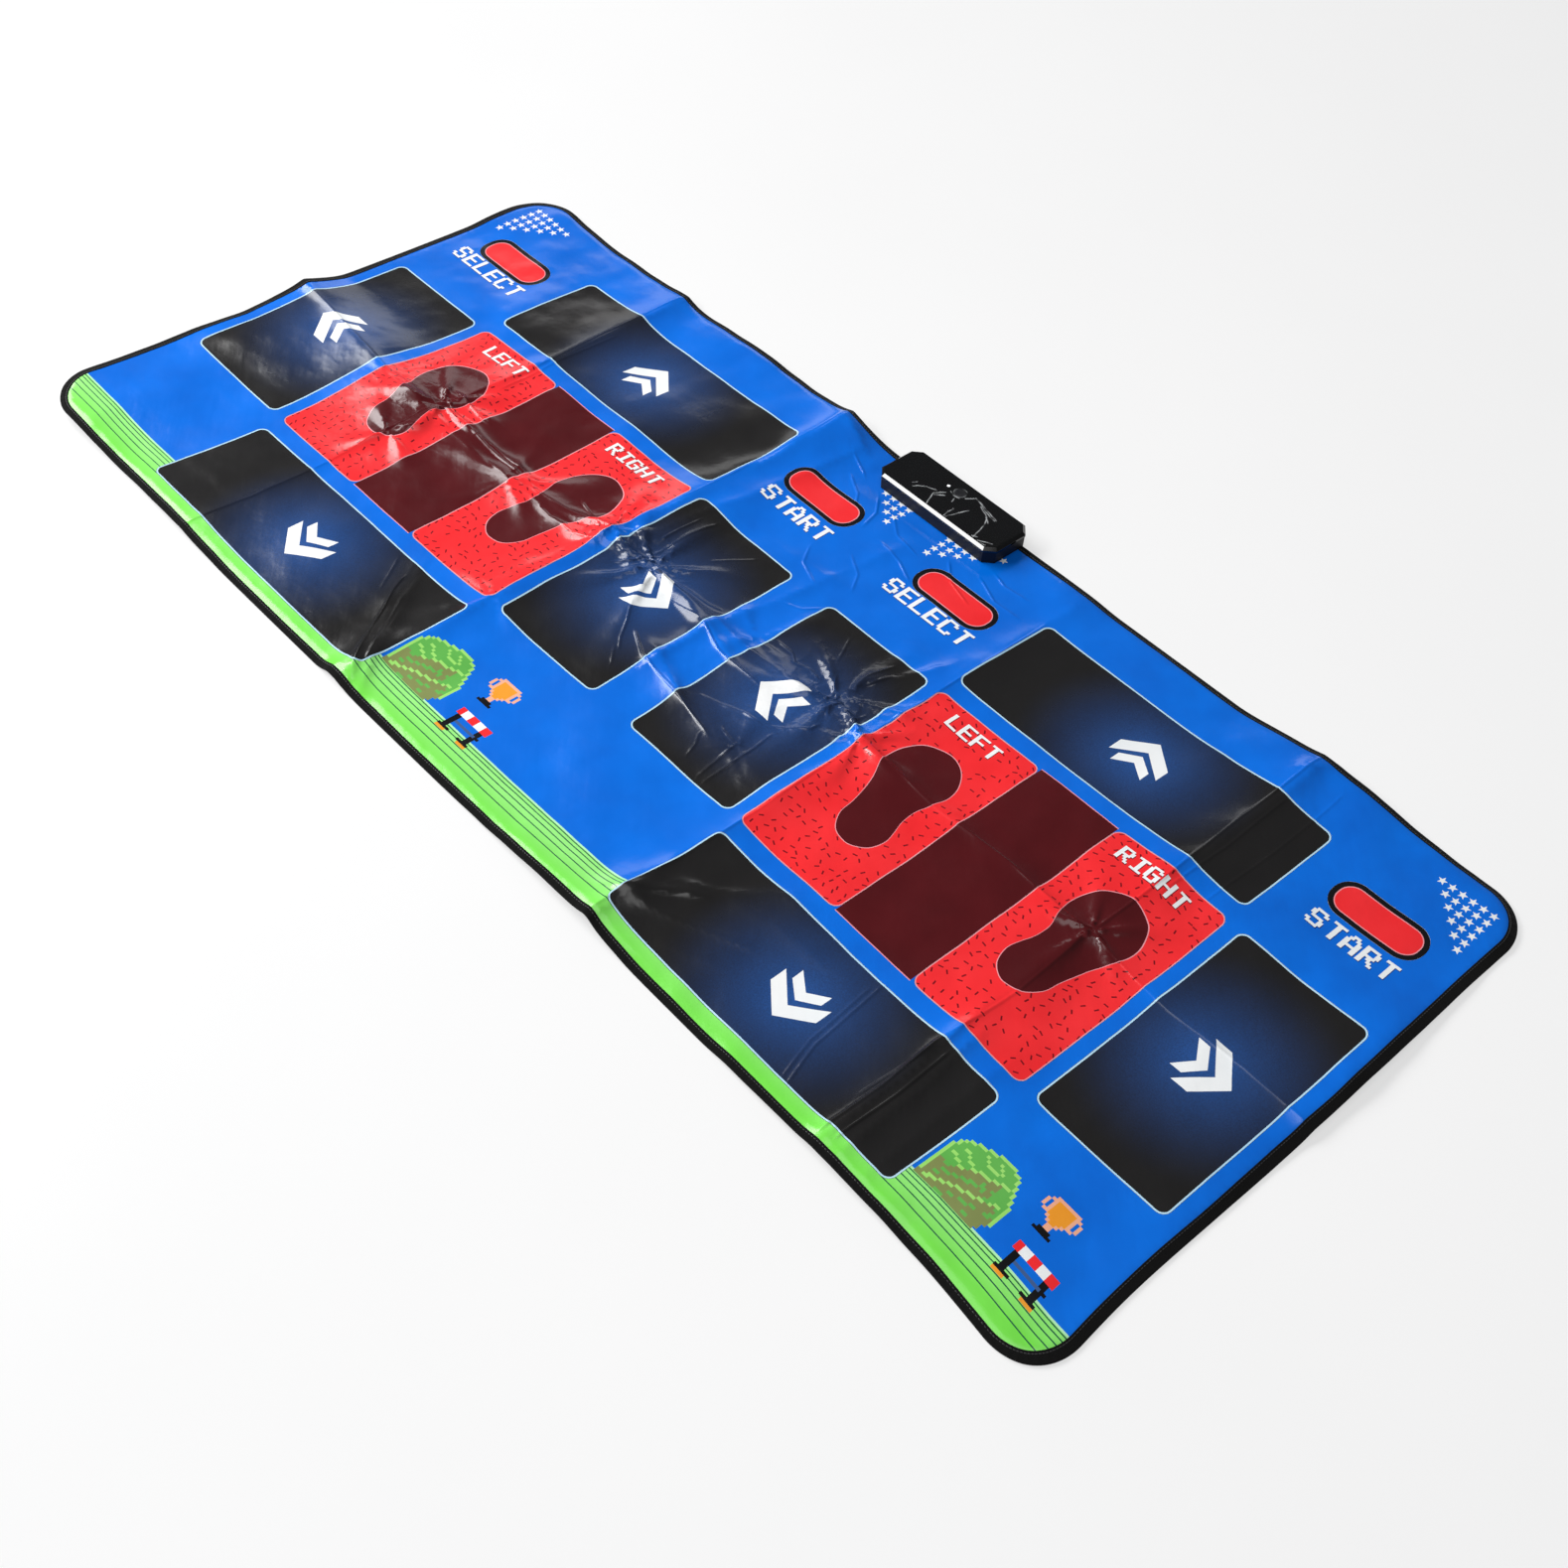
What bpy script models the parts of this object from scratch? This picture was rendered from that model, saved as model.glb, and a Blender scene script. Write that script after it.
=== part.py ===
"""A two-player game mat with a battery powered control box on its back edge.

The mat is a stack of plies held together by a tape round its edge: non-slip backing, base foam,
lower contact film, spacer foam, upper contact film and printed sheet. Each player has eight press
zones, which sink through windows in the upper plies until they meet the lower film.
The box sits on the back edge. Four screws run up from a clamp plate under the mat, through the
plies, the housing and the circuit board, into the lid, and hold all of them together.

Metres, +Z up, +X along the mat's long side, +Y towards the box. The origin is the middle of the
mat's underside, so z = 0 is the floor.
"""

import math

import bmesh
import bpy
from mathutils import Matrix, Vector

MM = 0.001

# Press zones of one player's half, seen from above
ARROW_WIDTH = 163 * MM  # left and right arrow pads
FOOT_WIDTH = 150 * MM  # each red foot pad
STRIPE_WIDTH = 109 * MM  # printed stripe between the foot pads
COLUMN_GAP = 16 * MM  # arrow pad to foot pad
SIDE_MARGIN = 29 * MM  # mat's end, or its middle line, to the nearest arrow pad
DOWN_DEPTH = 150 * MM
MIDDLE_DEPTH = 304 * MM  # left, right and foot pads
UP_DEPTH = 150 * MM
ROW_GAP = 22 * MM
FRONT_MARGIN = 26 * MM
BACK_MARGIN = 76 * MM
PAD_CORNER = 11 * MM
OVAL_LENGTH = 116 * MM  # SELECT and START pads
OVAL_DEPTH = 52 * MM
OVAL_CORNER = 24 * MM
OVAL_CLEAR = 93 * MM  # middle row to an oval, with the printed word between them
SEAM = 0.4 * MM  # round each pad, in its window

# Edge tape
MAT_CORNER = 60 * MM
TAPE_WIDTH = 11 * MM
TAPE_THICKNESS = 0.4 * MM

# Plies, from the floor up
PLY_GAP = 0.2 * MM
BACKING_RIM = 0.3 * MM  # the backing where the tape presses it thin
BASE_FOAM = 1.4 * MM
FILM = 0.25 * MM
SPACER_FOAM = 1.4 * MM
PRINTED_SHEET = 0.5 * MM

# Control box
BOX_DEPTH = 72 * MM
BOX_END_ROOM = 18.6 * MM  # from the cells' end walls to the housing's ends
BOX_CHAMFER = 12 * MM
BOX_OVERHANG = 11 * MM  # past the mat's back edge
LID_OVERHANG = 0.8 * MM  # past the housing, all round
LID_BEVEL = 3.4 * MM
WALL = 2.4 * MM
FLOOR = 2 * MM
TOP_WALL = 1.8 * MM
SEAT = 0.3 * MM  # between two pieces that touch
PARTITION = 1.2 * MM

# Cells in a line along the box's rear wall
CELL_COUNT = 3
CELL_RADIUS = 5.25 * MM
CELL_LENGTH = 44.5 * MM
NUB_RADIUS = 1.9 * MM
NUB_LENGTH = 0.9 * MM
CELL_SHOULDER = 0.5 * MM
SPRING_LENGTH = 5 * MM
SPRING_TURNS = 4
SPRING_WIRE = 0.6 * MM
SPRING_WIDE = 3.2 * MM  # coil radius at its contact
SPRING_NARROW = 2 * MM  # coil radius at the cell
CONTACT = 0.4 * MM
CONTACT_WIDTH = 8 * MM
CONTACT_LIFT = 1.5 * MM  # a contact's lower edge above the box's floor
TAIL_WIDTH = 3 * MM  # solder tail of a contact
END_WALL = 4 * MM  # between the cells and the rest of the box

# Battery door in the rear wall, on two pins along its lower edge
DOOR = 1.8 * MM
DOOR_CLEAR = 0.4 * MM
DOOR_SILL = 0.5 * MM
DOOR_HEADROOM = 0.4 * MM  # opening above the cells
DOOR_RECESS = 0.3 * MM
DOOR_LINTEL = 1.8 * MM  # housing wall over the opening
PIN_RADIUS = 0.6 * MM
PIN_LENGTH = 1.8 * MM
PIN_CLEAR = 0.3 * MM
GRIP_LENGTH = 20 * MM
GRIP = 1 * MM
GRIP_PROUD = 0.7 * MM

# Circuit board and what is on it
BOARD = 1 * MM
BOARD_CLEAR = 0.6 * MM  # above the cells
BOARD_EDGE = 1.8 * MM  # to the housing's walls
BOARD_OVER_CELLS = 4 * MM
SWITCH_SIDE = 6 * MM
SWITCH_HEIGHT = 1.6 * MM
SWITCH_FLOOR = 0.4 * MM
PLUNGER_RADIUS = 1.7 * MM
PLUNGER_PROUD = 0.8 * MM
DIODE_LENGTH = 3.2 * MM
DIODE_DEPTH = 1.6 * MM
DIODE_HEIGHT = 1 * MM
RADIO_LENGTH = 18 * MM
RADIO_DEPTH = 12 * MM
RADIO_HEIGHT = 2.2 * MM
RADIO_RIGHT = 40 * MM  # of the box's centre
PROCESSOR_SIDE = 10 * MM
PROCESSOR_HEIGHT = 1.4 * MM
PROCESSOR_LEFT = 36 * MM  # of the box's centre
CHIPS_FORWARD = 12 * MM  # of the box's centre

# Power button and light pipe, in the lid
BUTTON_LEFT = 1.5 * MM  # of the box's centre
BUTTON_BACK = 13.5 * MM  # of the box's centre
BUTTON_RADIUS = 7.9 * MM
BUTTON_CLEAR = 0.3 * MM
BUTTON_TRAVEL = 0.5 * MM
BUTTON_ROUND = 0.3 * MM
FLANGE = 1.2 * MM  # thickness of the rims that keep button and light pipe in the lid
FLANGE_PROUD = 1.5 * MM
STEM_RADIUS = 2 * MM
STEM_LENGTH = 0.5 * MM
LIGHT_LEFT = 20 * MM  # of the box's centre
LIGHT_BACK = 12.5 * MM  # of the box's centre
LIGHT_RADIUS = 2 * MM
FILM_COVER = 0.12 * MM  # clear film on the lid
FILM_COVER_EDGE = 0.8 * MM  # from the lid's bevel
FILM_COVER_LIFT = 0.2 * MM

# Clamp plate and screws
SCREW_INSET = 28 * MM  # from the box's ends
SCREW_ROWS = 28 * MM  # between the front and back screws
SCREW_FORWARD = 10 * MM  # screws' middle in front of the box's centre
SCREW_RADIUS = 1.5 * MM
SCREW_CLEAR = 0.3 * MM
SCREW_HEAD_RADIUS = 2.8 * MM
SCREW_HEAD = 1.2 * MM
SCREW_END = 1 * MM  # its tip to the lid's ceiling
CROSS_WIDTH = 0.8 * MM
CROSS_LENGTH = 3.2 * MM
CROSS_DEPTH = 0.8 * MM
BOSS_RADIUS = 3.6 * MM
CLAMP = 2 * MM
CLAMP_MARGIN = 7 * MM
CLAMP_CORNER = 4 * MM

# Film tail from the mat to the board
FLEX_RIGHT = 30 * MM  # of the box's centre
FLEX_FORWARD = 14 * MM  # of the box's centre
FLEX = 0.2 * MM
FLEX_WIDTH = 22 * MM
FLEX_FOOT = 10 * MM
FLEX_CLEAR = 0.5 * MM
SOCKET_WALL = 2 * MM
SOCKET_DEPTH = 5 * MM
SOCKET_HEIGHT = 3.4 * MM
SOCKET_GRIP = 1.6 * MM  # how far the tail goes in

SINK = 0.5 * MM  # how far shapes that are joined reach into each other
MERGE = 0.001 * MM  # points this close are one point
CORNER_STEPS = 4
TAPE_STEPS = 10
ROUND_STEPS = 24
SMALL_STEPS = 12

# Sizes that follow from those above
FIELD_WIDTH = 2 * FOOT_WIDTH + STRIPE_WIDTH
HALF_LENGTH = 2 * (SIDE_MARGIN + ARROW_WIDTH + COLUMN_GAP) + FIELD_WIDTH
MAT_LENGTH = 2 * HALF_LENGTH
MAT_DEPTH = FRONT_MARGIN + DOWN_DEPTH + MIDDLE_DEPTH + UP_DEPTH + 2 * ROW_GAP + BACK_MARGIN
BACK_EDGE = MAT_DEPTH / 2

RIM_LOW = TAPE_THICKNESS + PLY_GAP
BACKING_TOP = RIM_LOW + BACKING_RIM
BASE_LOW = BACKING_TOP + PLY_GAP
BASE_TOP = BASE_LOW + BASE_FOAM
LOWER_FILM_LOW = BASE_TOP + PLY_GAP
LOWER_FILM_TOP = LOWER_FILM_LOW + FILM
SPACER_LOW = LOWER_FILM_TOP + PLY_GAP
SPACER_TOP = SPACER_LOW + SPACER_FOAM
UPPER_FILM_LOW = SPACER_TOP + PLY_GAP
UPPER_FILM_TOP = UPPER_FILM_LOW + FILM
SHEET_LOW = UPPER_FILM_TOP + PLY_GAP
SHEET_TOP = SHEET_LOW + PRINTED_SHEET
MAT_TOP = SHEET_TOP + PLY_GAP + TAPE_THICKNESS

CELL_ROW = CELL_COUNT * CELL_LENGTH + (CELL_COUNT - 1) * SEAT
BAY_LENGTH = CELL_ROW + SPRING_LENGTH + 2 * CONTACT + 5 * SEAT
HOUSING_LENGTH = BAY_LENGTH + 2 * (END_WALL + BOX_END_ROOM + WALL)
BOX_LENGTH = HOUSING_LENGTH + 2 * LID_OVERHANG
BOX_CENTRE = Vector((0, BACK_EDGE + BOX_OVERHANG - BOX_DEPTH / 2))
HOUSING_DEPTH = BOX_DEPTH - 2 * LID_OVERHANG
REAR_FACE = BOX_CENTRE.y + HOUSING_DEPTH / 2
BOX_LOW = MAT_TOP + SEAT
FLOOR_TOP = BOX_LOW + FLOOR
CELL_Z = FLOOR_TOP + SEAT + CELL_RADIUS
CELL_Y = REAR_FACE - WALL - DOOR_CLEAR - CELL_RADIUS
PARTITION_Y = CELL_Y - CELL_RADIUS - SEAT
BOARD_LOW = CELL_Z + CELL_RADIUS + BOARD_CLEAR
BOARD_TOP = BOARD_LOW + BOARD
SWITCH_LOW = BOARD_TOP + SEAT
PLUNGER_TOP = SWITCH_LOW + SWITCH_HEIGHT + PLUNGER_PROUD
CEILING = PLUNGER_TOP + SEAT + STEM_LENGTH + FLANGE + SEAT
LID_TOP = CEILING + TOP_WALL
DOOR_OPENING_LOW = FLOOR_TOP + DOOR_SILL
DOOR_OPENING_TOP = CELL_Z + CELL_RADIUS + DOOR_HEADROOM
HOUSING_TOP = DOOR_OPENING_TOP + DOOR_LINTEL
HINGE = Vector((0, REAR_FACE - DOOR_RECESS - DOOR / 2, DOOR_OPENING_LOW + DOOR_CLEAR + DOOR / 2))
CLAMP_TOP = LOWER_FILM_LOW - PLY_GAP
CLAMP_LOW = CLAMP_TOP - CLAMP
SCREW_TOP = CEILING - SCREW_END
SCREW_MIDDLE = BOX_CENTRE - Vector((0, SCREW_FORWARD))
SCREW_SPACING = Vector((BOX_LENGTH - 2 * SCREW_INSET, SCREW_ROWS))
CLAMP_SIZE = SCREW_SPACING + 2 * Vector((CLAMP_MARGIN, CLAMP_MARGIN))
BUTTON_PLACE = BOX_CENTRE + Vector((-BUTTON_LEFT, BUTTON_BACK))
LIGHT_PLACE = BOX_CENTRE + Vector((-LIGHT_LEFT, LIGHT_BACK))
FLEX_PLACE = BOX_CENTRE + Vector((FLEX_RIGHT, -FLEX_FORWARD))

PARTS = bpy.data.collections.new("game_mat")
CUTTERS = bpy.data.collections.new("cutters")


def clear_scene():
    for obj in list(bpy.data.objects):
        bpy.data.objects.remove(obj)
    for collection in (PARTS, CUTTERS):
        bpy.context.scene.collection.children.link(collection)


def make_material(name, colour, roughness, metallic=0.0):
    material = bpy.data.materials.new(name)
    material.use_nodes = True
    shader = material.node_tree.nodes["Principled BSDF"]
    shader.inputs["Base Color"].default_value = (*colour, 1)
    shader.inputs["Roughness"].default_value = roughness
    shader.inputs["Metallic"].default_value = metallic
    return material


BLUE_PRINT = make_material("blue_print", (0.005, 0.116, 0.631), 0.3)
BLACK_PRINT = make_material("black_print", (0.003, 0.004, 0.007), 0.3)
RED_PRINT = make_material("red_print", (0.888, 0.016, 0.023), 0.3)
TAPE_CLOTH = make_material("tape_cloth", (0.004, 0.004, 0.004), 0.8)
BACKING_CLOTH = make_material("backing_cloth", (0.02, 0.02, 0.022), 0.9)
FOAM = make_material("foam", (0.7, 0.7, 0.68), 0.9)
CONTACT_FILM = make_material("contact_film", (0.5, 0.52, 0.5), 0.4)
BLACK_GLOSS = make_material("black_gloss", (0.004, 0.004, 0.005), 0.12)
BLACK_PLASTIC = make_material("black_plastic", (0.01, 0.01, 0.011), 0.45)
CLEAR_PLASTIC = make_material("clear_plastic", (0.8, 0.82, 0.84), 0.1)
WHITE_PLASTIC = make_material("white_plastic", (0.85, 0.85, 0.82), 0.3)
BOARD_GREEN = make_material("board_green", (0.01, 0.12, 0.03), 0.5)
STEEL = make_material("steel", (0.56, 0.57, 0.58), 0.3, 1.0)
CELL_LABEL = make_material("cell_label", (0.08, 0.08, 0.09), 0.35)


def rectangle(centre, length, depth):
    x, y = length / 2, depth / 2
    return [(centre[0] + a, centre[1] + b) for a, b in ((-x, -y), (x, -y), (x, y), (-x, y))]


def rounded(centre, length, depth, radius, steps=CORNER_STEPS):
    """A rectangle with round corners, anticlockwise."""
    points = []
    for quarter, (side_x, side_y) in enumerate(((1, 1), (-1, 1), (-1, -1), (1, -1))):
        x = centre[0] + side_x * (length / 2 - radius)
        y = centre[1] + side_y * (depth / 2 - radius)
        for step in range(steps + 1):
            angle = math.pi / 2 * (quarter + step / steps)
            points.append((x + radius * math.cos(angle), y + radius * math.sin(angle)))
    return points


def chamfered(centre, length, depth, chamfer):
    """A rectangle with cut corners, anticlockwise."""
    x, y = length / 2, depth / 2
    corners = (
        (x, chamfer - y), (x, y - chamfer), (x - chamfer, y), (chamfer - x, y),
        (-x, y - chamfer), (-x, chamfer - y), (chamfer - x, -y), (x - chamfer, -y),
    )
    return [(centre[0] + a, centre[1] + b) for a, b in corners]


def disc(centre, radius, steps=SMALL_STEPS):
    angles = [2 * math.pi * step / steps for step in range(steps)]
    return [(centre[0] + radius * math.cos(a), centre[1] + radius * math.sin(a)) for a in angles]


def evaluated_mesh(obj):
    """The object's mesh with its curve or modifiers worked out. The object is removed."""
    bpy.context.scene.collection.objects.link(obj)
    bpy.context.view_layer.update()
    graph = bpy.context.evaluated_depsgraph_get()
    mesh = bpy.data.meshes.new_from_object(obj.evaluated_get(graph))
    bpy.data.objects.remove(obj)
    return mesh


def tidied(mesh):
    """The mesh with its caps welded to its sides and its faces pointing out."""
    shape = bmesh.new()
    shape.from_mesh(mesh)
    bmesh.ops.remove_doubles(shape, verts=shape.verts, dist=MERGE)
    bmesh.ops.recalc_face_normals(shape, faces=shape.faces)
    shape.to_mesh(mesh)
    shape.free()
    return mesh


def prism(outlines, low, high):
    """A flat piece between two heights. Outlines inside the first one are windows in it."""
    curve = bpy.data.curves.new("outline", "CURVE")
    curve.dimensions = "2D"
    curve.fill_mode = "BOTH"
    curve.extrude = (high - low) / 2
    for outline in outlines:
        spline = curve.splines.new("POLY")
        spline.points.add(len(outline) - 1)
        for point, (x, y) in zip(spline.points, outline):
            point.co = (x, y, 0, 1)
        spline.use_cyclic_u = True
    mesh = evaluated_mesh(bpy.data.objects.new("outline", curve))
    bpy.data.curves.remove(curve)
    mesh.transform(Matrix.Translation((0, 0, (low + high) / 2)))
    return tidied(mesh)


def bar(outline, left, right):
    """A bar along X whose section is an outline of (y, z) points."""
    mesh = prism([outline], left, right)
    turn = Matrix(((0, 0, 1, 0), (1, 0, 0, 0), (0, 1, 0, 0), (0, 0, 0, 1)))
    mesh.transform(turn)
    return mesh


def block(low, high):
    """A box between two corners."""
    low, high = Vector(low), Vector(high)
    shape = bmesh.new()
    place = Matrix.Translation((low + high) / 2) @ Matrix.Diagonal((*(high - low), 1))
    bmesh.ops.create_cube(shape, size=1, matrix=place)
    mesh = bpy.data.meshes.new("block")
    shape.to_mesh(mesh)
    shape.free()
    return mesh


def standing_block(centre, size, low):
    """A box of this size whose underside is centred over a point."""
    half = Vector((size[0] / 2, size[1] / 2))
    near, far = Vector(centre) - half, Vector(centre) + half
    return block((*near, low), (*far, low + size[2]))


def rod(centre, radius, low, high, steps=SMALL_STEPS):
    """An upright round bar between two heights."""
    shape = bmesh.new()
    place = Matrix.Translation((centre[0], centre[1], (low + high) / 2))
    bmesh.ops.create_cone(
        shape, cap_ends=True, segments=steps, radius1=radius, radius2=radius,
        depth=high - low, matrix=place,
    )
    mesh = bpy.data.meshes.new("rod")
    shape.to_mesh(mesh)
    shape.free()
    return mesh


def lying_rod(centre, radius, left, right, steps=SMALL_STEPS):
    """A round bar along X, with its centre given as (y, z)."""
    mesh = rod((0, 0), radius, left, right, steps)
    mesh.transform(Matrix.Translation((0, *centre)) @ Matrix.Rotation(math.pi / 2, 4, "Y"))
    return mesh


def turned(profile, steps=ROUND_STEPS):
    """A profile of (radius, height) points, top to bottom, turned about Z."""
    mesh = bpy.data.meshes.new("profile")
    points = [(radius, 0, height) for radius, height in profile]
    mesh.from_pydata(points, [(i, i + 1) for i in range(len(points) - 1)], [])
    obj = bpy.data.objects.new("profile", mesh)
    screw = obj.modifiers.new("turn", "SCREW")
    screw.steps = screw.render_steps = steps
    screw.use_merge_vertices = True
    screw.merge_threshold = MERGE
    return tidied(evaluated_mesh(obj))


def add_part(name, mesh, material, origin=(0, 0, 0), smooth=False):
    """A named piece. The mesh is in world coordinates and the object's origin is moved to origin."""
    mesh.name = name
    mesh.transform(Matrix.Translation(-Vector(origin)))
    mesh.materials.clear()
    mesh.materials.append(material)
    if smooth:
        mesh.shade_smooth()
        mesh.set_sharp_from_angle(angle=math.radians(35))
    part = bpy.data.objects.new(name, mesh)
    part.location = origin
    PARTS.objects.link(part)
    return part


def combine(part, operation, meshes):
    for mesh in meshes:
        name = f"{part.name}_{operation.lower()}_{len(part.modifiers)}"
        tool = bpy.data.objects.new(name, mesh)
        tool.hide_render = True
        tool.display_type = "WIRE"
        CUTTERS.objects.link(tool)
        modifier = part.modifiers.new(name, "BOOLEAN")
        modifier.operation = operation
        modifier.solver = "EXACT"
        modifier.object = tool


def cut(part, *meshes):
    combine(part, "DIFFERENCE", meshes)


def fuse(part, *meshes):
    combine(part, "UNION", meshes)


def bevel_top(mesh, level, width):
    """Cuts the outer edge of a prism's upper face."""
    shape = bmesh.new()
    shape.from_mesh(mesh)
    flat = math.radians(1)
    bmesh.ops.dissolve_limit(shape, angle_limit=flat, verts=shape.verts, edges=shape.edges)
    rim = [e for e in shape.edges if all(abs(v.co.z - level) < MERGE for v in e.verts)]
    bmesh.ops.bevel(shape, geom=rim, offset=width, segments=1, affect="EDGES")
    shape.to_mesh(mesh)
    shape.free()
    return mesh


def mat_outline(inset):
    """The mat's outline, drawn in by some distance."""
    return rounded(
        (0, 0), MAT_LENGTH - 2 * inset, MAT_DEPTH - 2 * inset, MAT_CORNER - inset, TAPE_STEPS
    )


def press_zones():
    """(name, centre, length, depth, corner radius, material) of each pad on the mat."""
    rows = [-BACK_EDGE + FRONT_MARGIN + DOWN_DEPTH / 2]
    rows.append(rows[0] + (DOWN_DEPTH + MIDDLE_DEPTH) / 2 + ROW_GAP)
    rows.append(rows[1] + (MIDDLE_DEPTH + UP_DEPTH) / 2 + ROW_GAP)
    oval_y = rows[1] + MIDDLE_DEPTH / 2 + OVAL_CLEAR + OVAL_DEPTH / 2
    arrow_x = (FIELD_WIDTH + ARROW_WIDTH) / 2 + COLUMN_GAP
    foot_x = (STRIPE_WIDTH + FOOT_WIDTH) / 2
    arrow = (ARROW_WIDTH, MIDDLE_DEPTH, PAD_CORNER, BLACK_PRINT)
    foot = (FOOT_WIDTH, MIDDLE_DEPTH, PAD_CORNER, RED_PRINT)
    oval = (OVAL_LENGTH, OVAL_DEPTH, OVAL_CORNER, RED_PRINT)
    zones = []
    for player, middle in ((1, -HALF_LENGTH / 2), (2, HALF_LENGTH / 2)):
        for name, x, y, shape in (
            ("left", -arrow_x, rows[1], arrow),
            ("right", arrow_x, rows[1], arrow),
            ("left_foot", -foot_x, rows[1], foot),
            ("right_foot", foot_x, rows[1], foot),
            ("up", 0, rows[2], (FIELD_WIDTH, UP_DEPTH, PAD_CORNER, BLACK_PRINT)),
            ("down", 0, rows[0], (FIELD_WIDTH, DOWN_DEPTH, PAD_CORNER, BLACK_PRINT)),
            ("select", -arrow_x, oval_y, oval),
            ("start", arrow_x, oval_y, oval),
        ):
            zones.append((f"p{player}_{name}_pad", (middle + x, y), *shape))
    return zones


def screw_places():
    half = SCREW_SPACING / 2
    sides = [(-1, -1), (1, -1), (-1, 1), (1, 1)]
    return [SCREW_MIDDLE + Vector((x * half.x, y * half.y)) for x, y in sides]


def make_pads():
    for name, centre, length, depth, corner, material in press_zones():
        outline = rounded(centre, length - 2 * SEAM, depth - 2 * SEAM, corner - SEAM)
        pad = prism([outline], UPPER_FILM_LOW, SHEET_TOP)
        add_part(name, pad, material, origin=(*centre, SHEET_TOP))


def make_plies():
    """The six plies, cut back from the tape that wraps their edge."""
    edge = mat_outline(TAPE_THICKNESS + PLY_GAP)
    windows = [
        rounded(centre, length, depth, corner)
        for _, centre, length, depth, corner, _ in press_zones()
    ]
    holes = [disc(place, SCREW_RADIUS + SCREW_CLEAR) for place in screw_places()]
    clamp_window = rounded(
        SCREW_MIDDLE, CLAMP_SIZE.x + 2 * SEAM, CLAMP_SIZE.y + 2 * SEAM, CLAMP_CORNER + SEAM
    )
    tail_slot = rectangle(FLEX_PLACE, FLEX_WIDTH + 2 * FLEX_CLEAR, FLEX + 2 * FLEX_CLEAR)
    foot_centre = FLEX_PLACE - Vector((0, FLEX_FOOT / 2))
    tail_window = rectangle(
        foot_centre, FLEX_WIDTH + 2 * FLEX_CLEAR, FLEX_FOOT + FLEX + 2 * FLEX_CLEAR
    )

    backing = prism([edge, clamp_window], RIM_LOW, BACKING_TOP)
    backing = add_part("nonslip_backing", backing, BACKING_CLOTH)
    middle = mat_outline(TAPE_WIDTH + SEAM)
    fuse(backing, prism([middle, clamp_window], 0, (RIM_LOW + BACKING_TOP) / 2))

    add_part("base_foam", prism([edge, clamp_window], BASE_LOW, BASE_TOP), FOAM)
    lower = prism([edge, *holes], LOWER_FILM_LOW, LOWER_FILM_TOP)
    add_part("lower_contact_film", lower, CONTACT_FILM)
    spacer = prism([edge, *windows, *holes, tail_window], SPACER_LOW, SPACER_TOP)
    add_part("spacer_foam", spacer, FOAM)
    upper = prism([edge, *windows, *holes, tail_slot], UPPER_FILM_LOW, UPPER_FILM_TOP)
    add_part("upper_contact_film", upper, CONTACT_FILM)
    sheet = prism([edge, *windows, *holes, tail_slot], SHEET_LOW, SHEET_TOP)
    add_part("printed_sheet", sheet, BLUE_PRINT)


def make_tape():
    """The edge tape: a U-shaped section that wraps all the plies."""
    tape = add_part("edge_tape", prism([mat_outline(0)], 0, MAT_TOP), TAPE_CLOTH)
    slot = prism([mat_outline(TAPE_THICKNESS)], TAPE_THICKNESS, MAT_TOP - TAPE_THICKNESS)
    cut(tape, slot, prism([mat_outline(TAPE_WIDTH)], -SINK, MAT_TOP + SINK))


def make_clamp():
    outline = rounded(SCREW_MIDDLE, CLAMP_SIZE.x, CLAMP_SIZE.y, CLAMP_CORNER)
    holes = [disc(place, SCREW_RADIUS + SCREW_CLEAR) for place in screw_places()]
    clamp = add_part("clamp_plate", prism([outline, *holes], CLAMP_LOW, CLAMP_TOP), STEEL)
    head_room = CLAMP_LOW + SCREW_HEAD + SCREW_CLEAR
    for place in screw_places():
        cut(clamp, rod(place, SCREW_HEAD_RADIUS + SCREW_CLEAR, CLAMP_LOW - SINK, head_room))


def make_screws():
    """Four long screws, head down in the clamp plate, with a cross recess."""
    top, seat, low = SCREW_TOP, CLAMP_LOW + SCREW_HEAD, CLAMP_LOW
    point = SCREW_RADIUS / 3
    profile = [
        (0, top), (point, top), (SCREW_RADIUS, top - SCREW_RADIUS), (SCREW_RADIUS, seat),
        (SCREW_HEAD_RADIUS, seat), (SCREW_HEAD_RADIUS, low), (0, low),
    ]
    for number, place in enumerate(screw_places(), start=1):
        mesh = turned(profile, SMALL_STEPS)
        mesh.transform(Matrix.Translation((*place, 0)))
        screw = add_part(f"clamp_screw_{number}", mesh, STEEL, (*place, seat), smooth=True)
        for size in ((CROSS_LENGTH, CROSS_WIDTH), (CROSS_WIDTH, CROSS_LENGTH)):
            cut(screw, standing_block(place, (*size, CROSS_DEPTH + SINK), low - SINK))


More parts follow.
